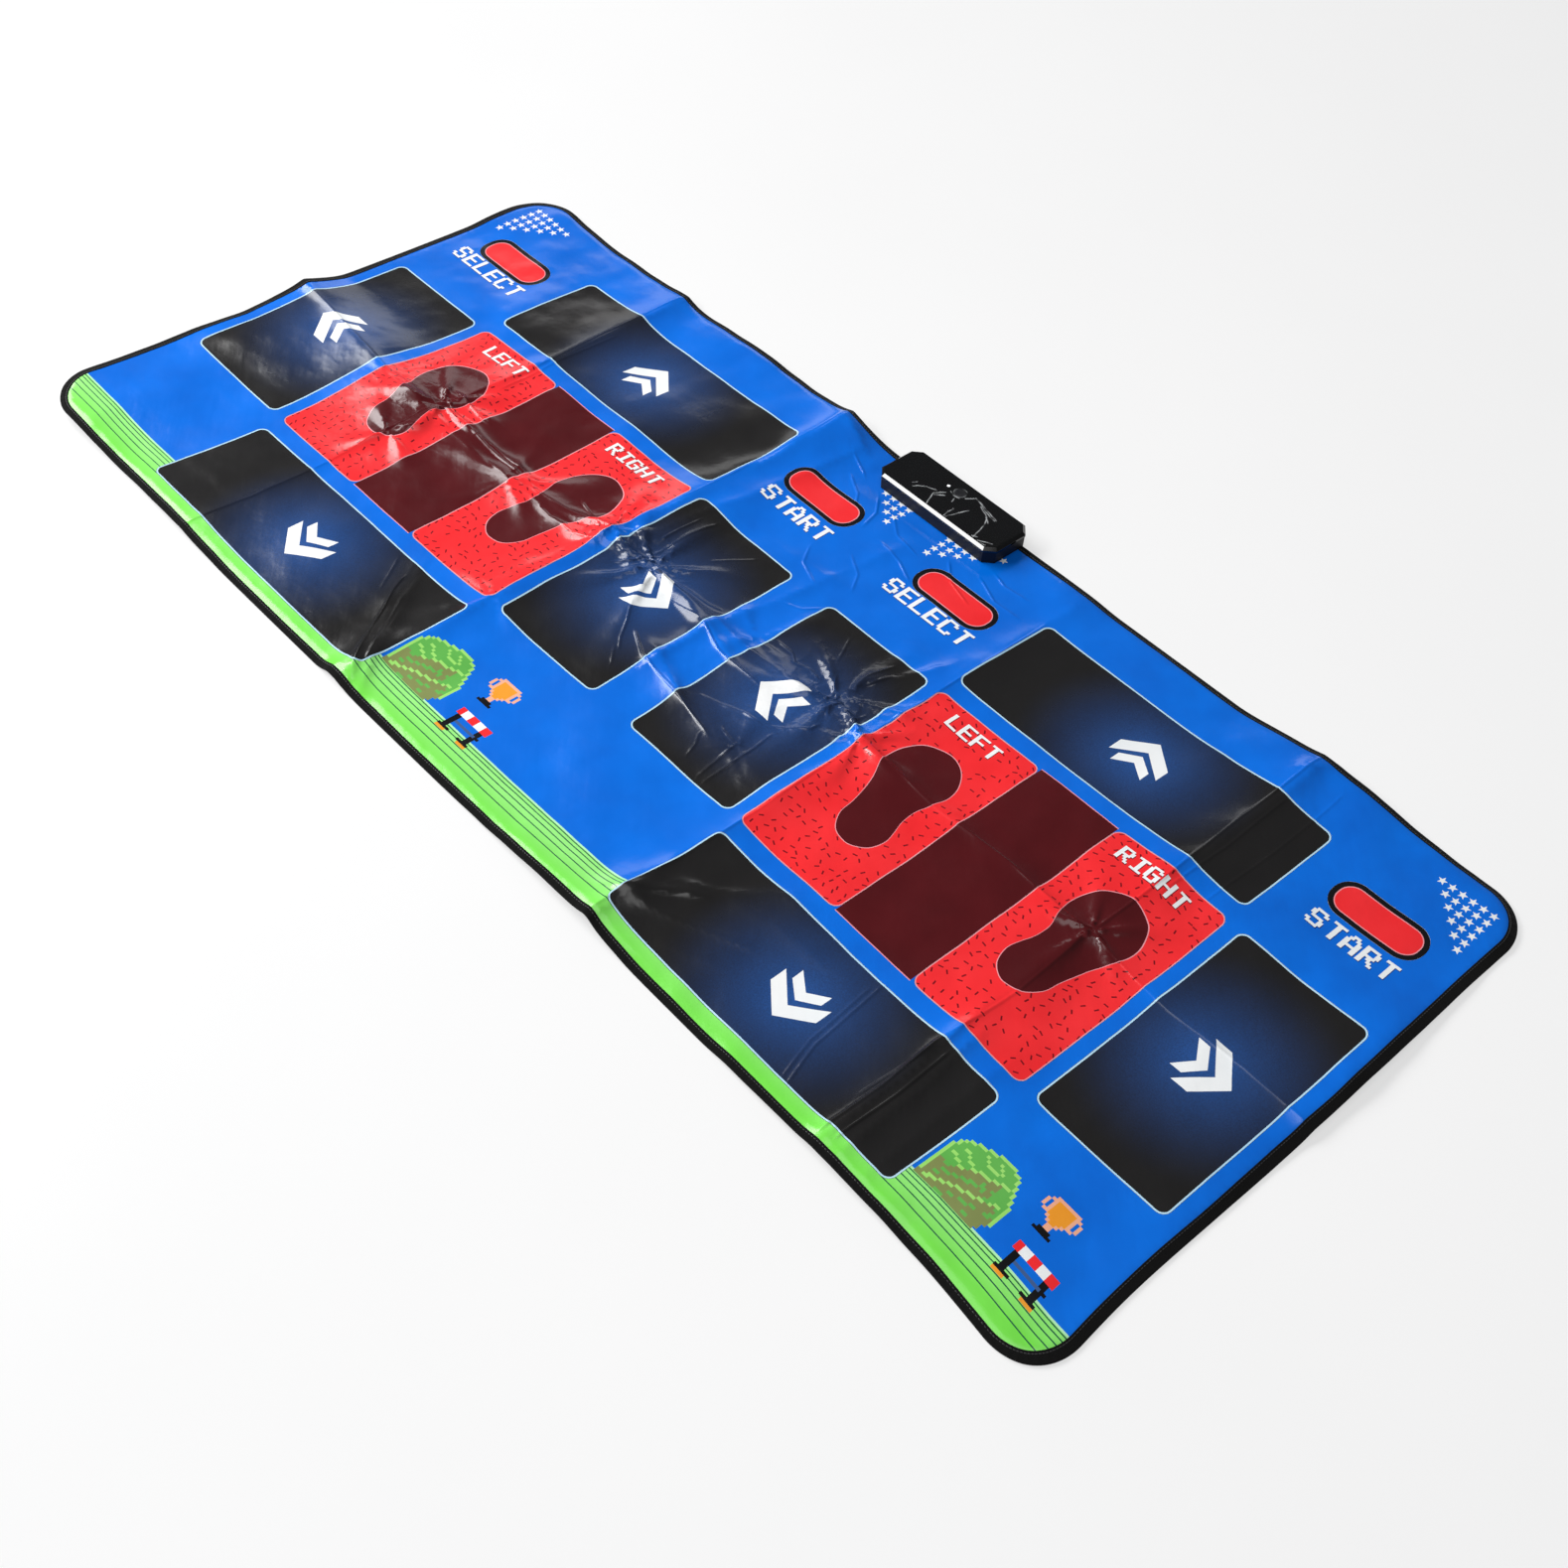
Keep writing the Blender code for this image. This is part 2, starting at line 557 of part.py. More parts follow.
def make_housing():
    """The open tray that the mat, the board and the cells are clamped to."""
    outline = chamfered(BOX_CENTRE, HOUSING_LENGTH, HOUSING_DEPTH, BOX_CHAMFER - LID_OVERHANG)
    housing = add_part("box_housing", prism([outline], BOX_LOW, HOUSING_TOP), BLACK_PLASTIC)
    inside = chamfered(
        BOX_CENTRE, HOUSING_LENGTH - 2 * WALL, HOUSING_DEPTH - 2 * WALL, BOX_CHAMFER - WALL
    )
    cut(housing, prism([inside], FLOOR_TOP, HOUSING_TOP + SINK))

    floor = FLOOR_TOP - SINK
    for place in screw_places():
        fuse(housing, rod(place, BOSS_RADIUS, floor, BOARD_LOW - SEAT, SMALL_STEPS))
    bay = BAY_LENGTH / 2
    wall_top = BOARD_LOW - SEAT
    behind = REAR_FACE - WALL + SINK
    front = PARTITION_Y - PARTITION
    fuse(housing, block((-bay - SINK, front, floor), (bay + SINK, PARTITION_Y, wall_top)))
    for side in (-1, 1):
        near, far = sorted((side * bay, side * (bay + END_WALL)))
        fuse(housing, block((near, front, floor), (far, behind, wall_top)))

    for place in screw_places():
        radius = SCREW_RADIUS + SCREW_CLEAR
        cut(housing, rod(place, radius, BOX_LOW - SINK, BOARD_LOW + SINK, SMALL_STEPS))
    slot = (FLEX_WIDTH + 2 * FLEX_CLEAR, FLEX + 2 * FLEX_CLEAR, FLOOR + 2 * SINK)
    cut(housing, standing_block(FLEX_PLACE, slot, BOX_LOW - SINK))
    opening = (
        (-bay, REAR_FACE - WALL - SINK, DOOR_OPENING_LOW),
        (bay, REAR_FACE + SINK, DOOR_OPENING_TOP),
    )
    cut(housing, block(*opening))
    reach = bay - DOOR_CLEAR + PIN_LENGTH + PIN_CLEAR
    cut(housing, lying_rod(HINGE.yz, PIN_RADIUS + PIN_CLEAR, -reach, reach))


def make_lid():
    """The glossy top shell, with bosses that press the board onto the housing's bosses."""
    outline = chamfered(BOX_CENTRE, BOX_LENGTH, BOX_DEPTH, BOX_CHAMFER)
    low = HOUSING_TOP + SEAT
    shell = bevel_top(prism([outline], low, LID_TOP), LID_TOP, LID_BEVEL)
    lid = add_part("box_lid", shell, BLACK_GLOSS)
    edge = LID_OVERHANG + WALL
    inside = chamfered(
        BOX_CENTRE, BOX_LENGTH - 2 * edge, BOX_DEPTH - 2 * edge, BOX_CHAMFER - WALL
    )
    cut(lid, prism([inside], low - SINK, CEILING))
    for place in screw_places():
        fuse(lid, rod(place, BOSS_RADIUS, BOARD_TOP + SEAT, CEILING + SINK, SMALL_STEPS))
    for place in screw_places():
        radius = SCREW_RADIUS + SCREW_CLEAR
        cut(lid, rod(place, radius, BOARD_TOP, SCREW_TOP + SCREW_CLEAR, SMALL_STEPS))
    for place, radius in ((BUTTON_PLACE, BUTTON_RADIUS), (LIGHT_PLACE, LIGHT_RADIUS)):
        radius += BUTTON_CLEAR
        cut(lid, rod(place, radius, CEILING - SINK, LID_TOP + SINK, ROUND_STEPS))

    edge = LID_BEVEL + FILM_COVER_EDGE
    skin = chamfered(BOX_CENTRE, BOX_LENGTH - 2 * edge, BOX_DEPTH - 2 * edge, BOX_CHAMFER - edge / 2)
    film_low = LID_TOP + FILM_COVER_LIFT
    add_part("lid_film", prism([skin], film_low, film_low + FILM_COVER), CLEAR_PLASTIC)


def make_button():
    place = BUTTON_PLACE
    flange_top = CEILING - SEAT
    flange_low = flange_top - FLANGE
    flange_radius = BUTTON_RADIUS + FLANGE_PROUD
    profile = [
        (0, LID_TOP), (BUTTON_RADIUS - BUTTON_ROUND, LID_TOP),
        (BUTTON_RADIUS, LID_TOP - BUTTON_ROUND), (BUTTON_RADIUS, flange_top),
        (flange_radius, flange_top), (flange_radius, flange_low),
        (STEM_RADIUS, flange_low), (STEM_RADIUS, flange_low - STEM_LENGTH),
        (0, flange_low - STEM_LENGTH),
    ]
    mesh = turned(profile)
    mesh.transform(Matrix.Translation((*place, 0)))
    add_part("power_button", mesh, BLACK_GLOSS, (*place, LID_TOP), smooth=True)


def make_light():
    """The light pipe in the lid, and the diode under it."""
    place = LIGHT_PLACE
    flange_top = CEILING - SEAT
    flange_radius = LIGHT_RADIUS + FLANGE_PROUD
    diode_top = BOARD_TOP + SEAT + DIODE_HEIGHT
    profile = [
        (0, LID_TOP), (LIGHT_RADIUS, LID_TOP), (LIGHT_RADIUS, flange_top),
        (flange_radius, flange_top), (flange_radius, flange_top - FLANGE),
        (LIGHT_RADIUS, flange_top - FLANGE), (LIGHT_RADIUS, diode_top + SEAT),
        (0, diode_top + SEAT),
    ]
    mesh = turned(profile, SMALL_STEPS)
    mesh.transform(Matrix.Translation((*place, 0)))
    add_part("light_pipe", mesh, WHITE_PLASTIC, (*place, LID_TOP), smooth=True)
    size = (DIODE_LENGTH, DIODE_DEPTH, DIODE_HEIGHT)
    diode = standing_block(place, size, BOARD_TOP + SEAT)
    add_part("indicator_diode", diode, WHITE_PLASTIC)


def make_board():
    front = BOX_CENTRE.y - HOUSING_DEPTH / 2 + WALL + BOARD_EDGE
    back = CELL_Y - CELL_RADIUS + BOARD_OVER_CELLS
    length = HOUSING_LENGTH - 2 * (WALL + BOARD_EDGE + BOX_CHAMFER)
    outline = rectangle((BOX_CENTRE.x, (front + back) / 2), length, back - front)
    holes = [disc(place, SCREW_RADIUS + SCREW_CLEAR) for place in screw_places()]
    board = prism([outline, *holes], BOARD_LOW, BOARD_TOP)
    add_part("circuit_board", board, BOARD_GREEN)
    on_top = BOARD_TOP + SEAT
    place = BOX_CENTRE + Vector((RADIO_RIGHT, -CHIPS_FORWARD))
    radio = standing_block(place, (RADIO_LENGTH, RADIO_DEPTH, RADIO_HEIGHT), on_top)
    add_part("radio_module", radio, STEEL)
    place = BOX_CENTRE - Vector((PROCESSOR_LEFT, CHIPS_FORWARD))
    chip = standing_block(place, (PROCESSOR_SIDE, PROCESSOR_SIDE, PROCESSOR_HEIGHT), on_top)
    add_part("processor", chip, BLACK_PLASTIC)


def make_switch():
    """The key switch under the power button, and the plunger that the button pushes."""
    place = BUTTON_PLACE
    size = (SWITCH_SIDE, SWITCH_SIDE, SWITCH_HEIGHT)
    switch = add_part("key_switch", standing_block(place, size, SWITCH_LOW), BLACK_PLASTIC)
    bore_floor = SWITCH_LOW + SWITCH_FLOOR
    top = SWITCH_LOW + SWITCH_HEIGHT
    cut(switch, rod(place, PLUNGER_RADIUS + BUTTON_CLEAR, bore_floor, top + SINK))
    plunger_low = bore_floor + BUTTON_TRAVEL + PLY_GAP
    plunger = rod(place, PLUNGER_RADIUS, plunger_low, PLUNGER_TOP)
    add_part("switch_plunger", plunger, WHITE_PLASTIC, (*place, PLUNGER_TOP), smooth=True)


def make_film_tail():
    """The flat tail that rises from the plies to a socket under the board."""
    x, y = FLEX_PLACE
    low = LOWER_FILM_TOP + PLY_GAP
    socket_top = BOARD_LOW - SEAT
    socket_low = socket_top - SOCKET_HEIGHT
    top = socket_low + SOCKET_GRIP
    front, back = y - FLEX / 2, y + FLEX / 2
    outline = [
        (front - FLEX_FOOT, low), (back, low), (back, top), (front, top),
        (front, low + FLEX), (front - FLEX_FOOT, low + FLEX),
    ]
    tail = bar(outline, x - FLEX_WIDTH / 2, x + FLEX_WIDTH / 2)
    add_part("film_tail", tail, CONTACT_FILM)
    size = (FLEX_WIDTH + 2 * SOCKET_WALL, SOCKET_DEPTH, SOCKET_HEIGHT)
    socket = standing_block(FLEX_PLACE, size, socket_low)
    socket = add_part("tail_socket", socket, WHITE_PLASTIC)
    slot = (FLEX_WIDTH + 2 * SEAT, FLEX + 2 * SEAT, SOCKET_GRIP + SEAT + SINK)
    cut(socket, standing_block(FLEX_PLACE, slot, socket_low - SINK))


def make_cells():
    """Three cells end to end along the rear wall, each with its nub towards +X."""
    end = CELL_LENGTH / 2
    body_end = end - NUB_LENGTH
    profile = [
        (0, end), (NUB_RADIUS, end), (NUB_RADIUS, body_end), (CELL_RADIUS - CELL_SHOULDER, body_end),
        (CELL_RADIUS, body_end - CELL_SHOULDER), (CELL_RADIUS, CELL_SHOULDER - end),
        (CELL_RADIUS - CELL_SHOULDER, -end), (0, -end),
    ]
    first = -BAY_LENGTH / 2 + CONTACT + SPRING_LENGTH + 3 * SEAT + end
    for number in range(CELL_COUNT):
        place = (first + number * (CELL_LENGTH + SEAT), CELL_Y, CELL_Z)
        mesh = turned(profile)
        mesh.transform(Matrix.Translation(place) @ Matrix.Rotation(math.pi / 2, 4, "Y"))
        add_part(f"cell_{number + 1}", mesh, CELL_LABEL, place, smooth=True)


def make_contacts():
    """A spring contact at the cells' negative end and a flat one at the other."""
    low = FLOOR_TOP + CONTACT_LIFT
    top = BOARD_LOW - SEAT
    shoulder = CELL_Z + CONTACT_WIDTH / 2
    front, back = CELL_Y - CONTACT_WIDTH / 2, CELL_Y + CONTACT_WIDTH / 2
    outline = [
        (front, low), (back, low), (back, shoulder), (front + TAIL_WIDTH, shoulder),
        (front + TAIL_WIDTH, top), (front, top),
    ]
    inside = BAY_LENGTH / 2 - SEAT
    minus = bar(outline, -inside, CONTACT - inside)
    add_part("spring_contact", minus, STEEL)
    add_part("flat_contact", bar(outline, inside - CONTACT, inside), STEEL)

    start = -inside + CONTACT + SEAT + SPRING_WIRE / 2
    run = SPRING_LENGTH - SPRING_WIRE
    curve = bpy.data.curves.new("spring", "CURVE")
    curve.dimensions = "3D"
    curve.bevel_depth = SPRING_WIRE / 2
    curve.bevel_resolution = 1
    curve.use_fill_caps = True
    count = 10 * SPRING_TURNS
    spline = curve.splines.new("POLY")
    spline.points.add(count)
    for step, point in enumerate(spline.points):
        share = step / count
        angle = 2 * math.pi * SPRING_TURNS * share
        radius = SPRING_WIDE + (SPRING_NARROW - SPRING_WIDE) * share
        y, z = radius * math.cos(angle), radius * math.sin(angle)
        point.co = (start + run * share, CELL_Y + y, CELL_Z + z, 1)
    mesh = tidied(evaluated_mesh(bpy.data.objects.new("spring", curve)))
    bpy.data.curves.remove(curve)
    add_part("battery_spring", mesh, STEEL, smooth=True)


def make_door():
    """The battery door, which turns outwards on two pins along its rounded lower edge."""
    half = DOOR / 2
    arc = [math.pi * (1 + step / 6) for step in range(7)]
    outline = [(HINGE.y + half * math.cos(a), HINGE.z + half * math.sin(a)) for a in arc]
    top = DOOR_OPENING_TOP - DOOR_CLEAR
    outline += [(HINGE.y + half, top), (HINGE.y - half, top)]
    reach = BAY_LENGTH / 2 - DOOR_CLEAR
    door = add_part("battery_door", bar(outline, -reach, reach), BLACK_PLASTIC, HINGE)
    for side in (-1, 1):
        ends = sorted((side * (reach - SINK), side * (reach + PIN_LENGTH)))
        pin = lying_rod(HINGE.yz, PIN_RADIUS, *ends)
        fuse(door, pin)
    grip_top = top - 2 * GRIP
    grip_low = (-GRIP_LENGTH / 2, HINGE.y + half - SINK, grip_top - GRIP)
    fuse(door, block(grip_low, (GRIP_LENGTH / 2, HINGE.y + half + GRIP_PROUD, grip_top)))


def main():
    clear_scene()
    make_plies()
    make_pads()
    make_tape()
    make_clamp()
    make_screws()
    make_housing()
    make_lid()
    make_button()
    make_light()
    make_board()
    make_switch()
    make_film_tail()
    make_cells()
    make_contacts()
    make_door()


main()
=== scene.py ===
"""The looks of a two-player game mat with a control box on its back edge.

The mat's plies, press pads and edge tape are flat cuts that are all laid over the same folds, so
they stay in their stack. What shows, the printed vinyl and the tape, also takes the puckers, the
crumpled places, the sharp creases and the small wrinkles. What is printed on the vinyl is cut into
its faces, one material for each ink. Metres, in the solids' frame: +X along the mat, +Y towards the
box, and z = 0 is the floor.
"""

import math

import bmesh
import bpy
import numpy as np
from mathutils import Matrix, Vector
from mathutils.geometry import delaunay_2d_cdt
from mathutils.kdtree import KDTree


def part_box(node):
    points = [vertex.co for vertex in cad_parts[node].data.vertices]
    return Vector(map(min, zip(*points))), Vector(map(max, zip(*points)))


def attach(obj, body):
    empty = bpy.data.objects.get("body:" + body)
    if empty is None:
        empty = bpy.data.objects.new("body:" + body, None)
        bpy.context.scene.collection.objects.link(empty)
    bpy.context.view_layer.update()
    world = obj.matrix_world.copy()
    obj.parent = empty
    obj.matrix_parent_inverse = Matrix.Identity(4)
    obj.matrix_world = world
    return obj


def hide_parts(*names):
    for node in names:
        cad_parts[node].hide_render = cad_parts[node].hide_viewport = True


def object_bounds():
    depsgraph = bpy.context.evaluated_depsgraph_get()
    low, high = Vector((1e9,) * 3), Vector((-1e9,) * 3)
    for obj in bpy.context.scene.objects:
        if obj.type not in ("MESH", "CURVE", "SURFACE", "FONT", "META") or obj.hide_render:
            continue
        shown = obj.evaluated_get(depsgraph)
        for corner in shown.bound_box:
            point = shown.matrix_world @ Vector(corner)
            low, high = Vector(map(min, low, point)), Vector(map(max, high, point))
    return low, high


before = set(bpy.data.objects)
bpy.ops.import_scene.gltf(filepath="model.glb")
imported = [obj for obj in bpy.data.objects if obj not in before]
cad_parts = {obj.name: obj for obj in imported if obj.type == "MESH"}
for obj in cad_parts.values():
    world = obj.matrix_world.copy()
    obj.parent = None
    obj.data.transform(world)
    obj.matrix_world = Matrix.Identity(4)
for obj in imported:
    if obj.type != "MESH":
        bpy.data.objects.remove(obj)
solid_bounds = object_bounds()

MM = 0.001

# The mat, as the solids have it
TAPE_WIDTH = 11 * MM
TAPE_SHOWS = ((13 * MM, 11.6 * MM), (8.6 * MM, 9 * MM))  # on top: left and right, front and back
TAPE_WANDER = 0.7 * MM  # more or less than that
TAPE_WANDER_SIZE = 90  # along the edge, in millimetres
TAPE_THICKNESS = 0.4 * MM
MAT_CORNER = 60 * MM
PLY_INSET = 0.6 * MM  # from the tape's outside to the edge of the plies
SEAM = 0.4 * MM  # round each pad
PAD_THICKNESS = 0.75 * MM  # vinyl and the film under it, pressed together
PAD_CORNER = 10.6 * MM
OVAL_CORNER = 23.6 * MM
PLATE_CORNER = 4 * MM
BACKING_RIM_LOW = 0.6 * MM  # the backing's underside where it goes into the tape
HOLE_CLEAR = 0.3 * MM
TAIL_CLEAR = 0.5 * MM
TAIL_SHEET = 0.2 * MM

TAPE_STEP = 3 * MM  # spacing of the points along the tape
FINE = 6 * MM  # spacing of the points that carry wrinkles, on what shows
COARSE = 10 * MM  # and on the plies inside
RING_STEP = 0.7  # along a cut or printed outline, as a share of that spacing
POINT_CLEAR = 0.38  # and from such an outline to the nearest other point

# Printed layout
OUTLINE = 1.7 * MM  # pale line round an arrow pad
FIELD_LINE = 1.1 * MM  # pale line round the red field
OVAL_BORDER = 6 * MM
OVAL_LINE = 1.2 * MM
STRIP_TOP = 56 * MM  # the green track's edges and lane lines, from the mat's front edge
STRIP_EDGE = 2 * MM
LANES = (52.7 * MM, 48.4 * MM, 42.6 * MM, 35.6 * MM, 26.4 * MM)
LANE_LINE = 1.2 * MM
STAR_RADIUS = 5.9 * MM
STAR_WAIST = 0.42  # of that radius, at a star's inner corners
STAR_ROW = 6
STAR_PITCH = (13 * MM, 12.4 * MM)
STAR_INSET = (34 * MM, 37 * MM)  # first star to the half's end and to the back edge
BIG_CELL = (2.75 * MM, 3.6 * MM)  # one square of a letter in SELECT and START
SMALL_CELL = (2.3 * MM, 2.9 * MM)  # and in LEFT and RIGHT
SHADOW = 1.1 * MM  # dark print beside the letters
PIXEL = 3.5 * MM  # one square of the small pictures
WORD_DROP = 4  # letter squares from a button's edge to the middle of its word
SELECT_SHIFT = 5 * MM  # of the word, to the left of its button
START_DROP = 5 * MM  # of the word, further from its button than SELECT
CHEVRONS = ((33, 66, 47, 20), (3.5, 42, 29, 14))  # tip, width, reach and arm in millimetres
FOOT_IN = 81.5 * MM  # from a foot pad's outer side to the middle of its footprint
FOOT_EDGE = (1.022, 1.012)  # the pale line round a footprint, as a share of its width and length
FOOT_WORDS = {1: ("LEFT", 4 * MM), -1: ("RIGHT", 9 * MM)}  # and how far to the left of the middle
FOOT_WORD_BACK = 129 * MM

# The view, with its lens and sensor in millimetres and its angles in degrees
LENS = 48.23
SENSOR = 36
AZIMUTH, ELEVATION, ROLL = 43.86, 47.54, 5.61
TARGET = Vector((200.6, -98.3, 6.5)) * MM
DISTANCE = 2185.8 * MM


def linear(code):
    """A colour written as sRGB hex, turned to linear light."""
    values = [int(code[i : i + 2], 16) / 255 for i in (0, 2, 4)]
    return (*[v / 12.92 if v <= 0.04045 else ((v + 0.055) / 1.055) ** 2.4 for v in values], 1)


def add(tree, kind, inputs=None, **settings):
    """Adds a node. An input that is another node's output is linked, and any other is set."""
    made = tree.nodes.new("ShaderNode" + kind)
    for name, value in settings.items():
        setattr(made, name, value)
    for name, value in (inputs or {}).items():
        if isinstance(value, bpy.types.NodeSocket):
            tree.links.new(value, made.inputs[name])
        else:
            made.inputs[name].default_value = value
    return made


def start(name, roughness, ior=1.5, metallic=0.0, **sockets):
    """A new material with its tree, its shader and the piece's own coordinates."""
    made = bpy.data.materials.new(name)
    made.use_nodes = True
    tree = made.node_tree
    shader = tree.nodes["Principled BSDF"]
    shader.inputs["Roughness"].default_value = roughness
    shader.inputs["Metallic"].default_value = metallic
    if not metallic:
        shader.inputs["IOR"].default_value = ior
    for socket, value in sockets.items():
        shader.inputs[socket.replace("_", " ")].default_value = value
    place = add(tree, "TexCoord").outputs["Object"]
    return made, tree, shader, place


def tint(tree, shader, share, first, second):
    """Colours the shader from one tone, in hex or from another node, to a second by a share."""
    start_tone = first if isinstance(first, bpy.types.NodeSocket) else linear(first)
    tones = {"Factor": share, 6: start_tone, 7: linear(second)}
    mixed = add(tree, "Mix", tones, data_type="RGBA").outputs[2]
    tree.links.new(mixed, shader.inputs["Base Color"])
    return mixed


def mottle(tree, shader, place, first, second, size, detail=3.0, stretch=(1, 1, 1)):
    """Colours the shader between two near tones, in patches of about this size."""
    patches = noise(tree, place, size, detail, stretch)
    eased = add(tree, "MapRange", {"Value": patches, "From Min": 0.3, "From Max": 0.7})
    return tint(tree, shader, eased.outputs[0], first, second)


def roughen(tree, shader, place, low, high, size):
    """Lets the gloss vary in patches, as handling and dust leave it."""
    patches = add(tree, "TexNoise", {"Vector": place, "Scale": 1 / size, "Detail": 4.0})
    levels = {"Value": patches.outputs["Fac"], "From Min": 0.3, "From Max": 0.7}
    levels.update({"To Min": low, "To Max": high})
    tree.links.new(add(tree, "MapRange", levels).outputs[0], shader.inputs["Roughness"])


def emboss(tree, shader, heights):
    """Bumps from (height socket, depth in metres) pairs, one over another."""
    normal = None
    for height, depth in heights:
        inputs = {"Height": height, "Distance": depth, "Strength": 1.0}
        if normal is not None:
            inputs["Normal"] = normal
        normal = add(tree, "Bump", inputs).outputs[0]
    tree.links.new(normal, shader.inputs["Normal"])


def noise(tree, place, size, detail=2.0, stretch=(1, 1, 1)):
    """Height from 0 to 1 in lumps of about this size."""
    spread = add(tree, "Mapping", {"Vector": place, "Scale": stretch}).outputs[0]
    inputs = {"Vector": spread, "Scale": 1 / size, "Detail": detail}
    return add(tree, "TexNoise", inputs).outputs["Fac"]


def finish_vinyl(tree, shader, place):
    """Small wrinkles and the fine print grain of soft PVC film, and its uneven gloss."""
    wrinkles = noise(tree, place, 34 * MM, 2.0, (1, 1.6, 1))
    turned_way = add(tree, "Mapping", {"Vector": place, "Rotation": (0, 0, 0.7)}).outputs[0]
    drawn = noise(tree, turned_way, 26 * MM, 2.0, (0.35, 1.6, 1))
    where = {"Value": noise(tree, place, 120 * MM, 1.0), "From Min": 0.48, "From Max": 0.66}
    patches = add(tree, "MapRange", where).outputs[0]
    crinkles = noise(tree, place, 9 * MM, 1.0)
    patchy = add(tree, "Math", {0: crinkles, 1: patches}, operation="MULTIPLY").outputs[0]
    grain = noise(tree, place, 1.6 * MM, 1.0)
    # Fine creases, only where the sheet was crumpled
    sharp = {"Vector": place, "Scale": 1 / (30 * MM), "Detail": 2.0, "Offset": 1.0, "Gain": 1.6}
    ridges = add(tree, "TexNoise", sharp, noise_type="RIDGED_MULTIFRACTAL").outputs["Fac"]
    worn = add(tree, "Attribute", attribute_name="creased").outputs["Fac"]
    creases = add(tree, "Math", {0: ridges, 1: worn}, operation="MULTIPLY").outputs[0]
    heights = (
        (wrinkles, 0.2 * MM), (drawn, 0.4 * MM), (patchy, 0.25 * MM), (creases, 1.0 * MM),
        (grain, 0.01 * MM),
    )
    emboss(tree, shader, heights)
    roughen(tree, shader, place, 0.18, 0.25, 60 * MM)


def vinyl_ink(name, first, second):
    """Plasticised PVC film, calendered and screen printed: saturated colour under a soft gloss."""
    made, tree, shader, place = start(name, 0.3, ior=1.53)
    mottle(tree, shader, place, first, second, 70 * MM)
    finish_vinyl(tree, shader, place)
    return made


def glowing_black_ink():
    """Black print on the vinyl that fades to navy round the chevrons, in fine halftone dots."""
    made, tree, shader, place = start("pvc_printed_black_to_navy", 0.3, ior=1.53)
    away = add(tree, "Attribute", attribute_name="from_centre").outputs["Fac"]
    fade = {"Value": away, "From Min": 0.004, "From Max": 0.145, "To Min": 1.0, "To Max": 0.0}
    glow = add(tree, "MapRange", fade).outputs[0]
    deepened = add(tree, "Math", {0: glow, 1: 1.8}, operation="POWER").outputs[0]
    # The halftone's dots are 0.3 mm apart on the real print and drawn at 1.5 mm, so that they show
    dots = noise(tree, place, 1.5 * MM, 1.0)
    speckle = add(tree, "Math", {0: dots, 1: 0.9, 2: 0.5}, operation="MULTIPLY_ADD").outputs[0]
    level = add(tree, "Math", {0: deepened, 1: speckle}, operation="MULTIPLY").outputs[0]
    tint(tree, shader, level, "1D1C1C", "28559A")
    finish_vinyl(tree, shader, place)
    return made


def ticked_red_ink():
    """Red print on the vinyl with short dark ticks, each turned its own way, as a grip pattern."""
    made, tree, shader, place = start("pvc_printed_red_with_ticks", 0.3, ior=1.53)
    cells = {"Vector": place, "Scale": (1 / (12 * MM), 1 / (10.5 * MM), 0)}
    scaled = add(tree, "Mapping", cells).outputs[0]
    cell = add(tree, "VectorMath", {0: scaled}, operation="FLOOR").outputs[0]
    inside = add(tree, "VectorMath", {0: scaled, 1: cell}, operation="SUBTRACT").outputs[0]
    chance = add(tree, "TexWhiteNoise", {"Vector": cell}, noise_dimensions="2D")
    push = add(tree, "VectorMath", {0: chance.outputs["Color"], 1: (0.44, 0.44, 0)}, operation="MULTIPLY")
    middle = add(tree, "VectorMath", {0: push.outputs[0], 1: (0.28, 0.28, 0)}, operation="ADD")
    offset = add(tree, "VectorMath", {0: inside, 1: middle.outputs[0]}, operation="SUBTRACT")
    turn = add(tree, "Math", {0: chance.outputs["Value"], 1: math.pi}, operation="MULTIPLY")
    turned_in = {"Vector": offset.outputs[0], "Angle": turn.outputs[0]}
    turned_cell = add(tree, "VectorRotate", turned_in, rotation_type="Z_AXIS").outputs[0]
    sides = add(tree, "SeparateXYZ", {0: turned_cell})
    long = add(tree, "Math", {0: sides.outputs[0], 1: 0.0, 2: 0.24}, operation="COMPARE").outputs[0]
    thin = add(tree, "Math", {0: sides.outputs[1], 1: 0.0, 2: 0.075}, operation="COMPARE").outputs[0]
    shape = add(tree, "Math", {0: long, 1: thin}, operation="MULTIPLY").outputs[0]
    dice = add(tree, "SeparateXYZ", {0: chance.outputs["Color"]}).outputs[2]
    printed = add(tree, "Math", {0: dice, 1: 0.2}, operation="GREATER_THAN").outputs[0]
    tick = add(tree, "Math", {0: shape, 1: printed}, operation="MULTIPLY").outputs[0]
    red = mottle(tree, shader, place, "F5292E", "FD3338", 70 * MM)
    tint(tree, shader, tick, red, "7A0D18")
    finish_vinyl(tree, shader, place)
    return made


def track_green_ink():
    """Green print on the vinyl, strong at the mat's edge and paler towards the lane lines."""
    made, tree, shader, place = start("pvc_printed_track_green", 0.3, ior=1.53)
    across = add(tree, "SeparateXYZ", {0: place}).outputs[1]
    front = solid_bounds[0].y
    fade = {"Value": across, "From Min": front + 14 * MM, "From Max": front + 46 * MM}
    pale = add(tree, "MapRange", fade).outputs[0]
    tint(tree, shader, pale, "7AE650", "9CF084")
    finish_vinyl(tree, shader, place)
    return made


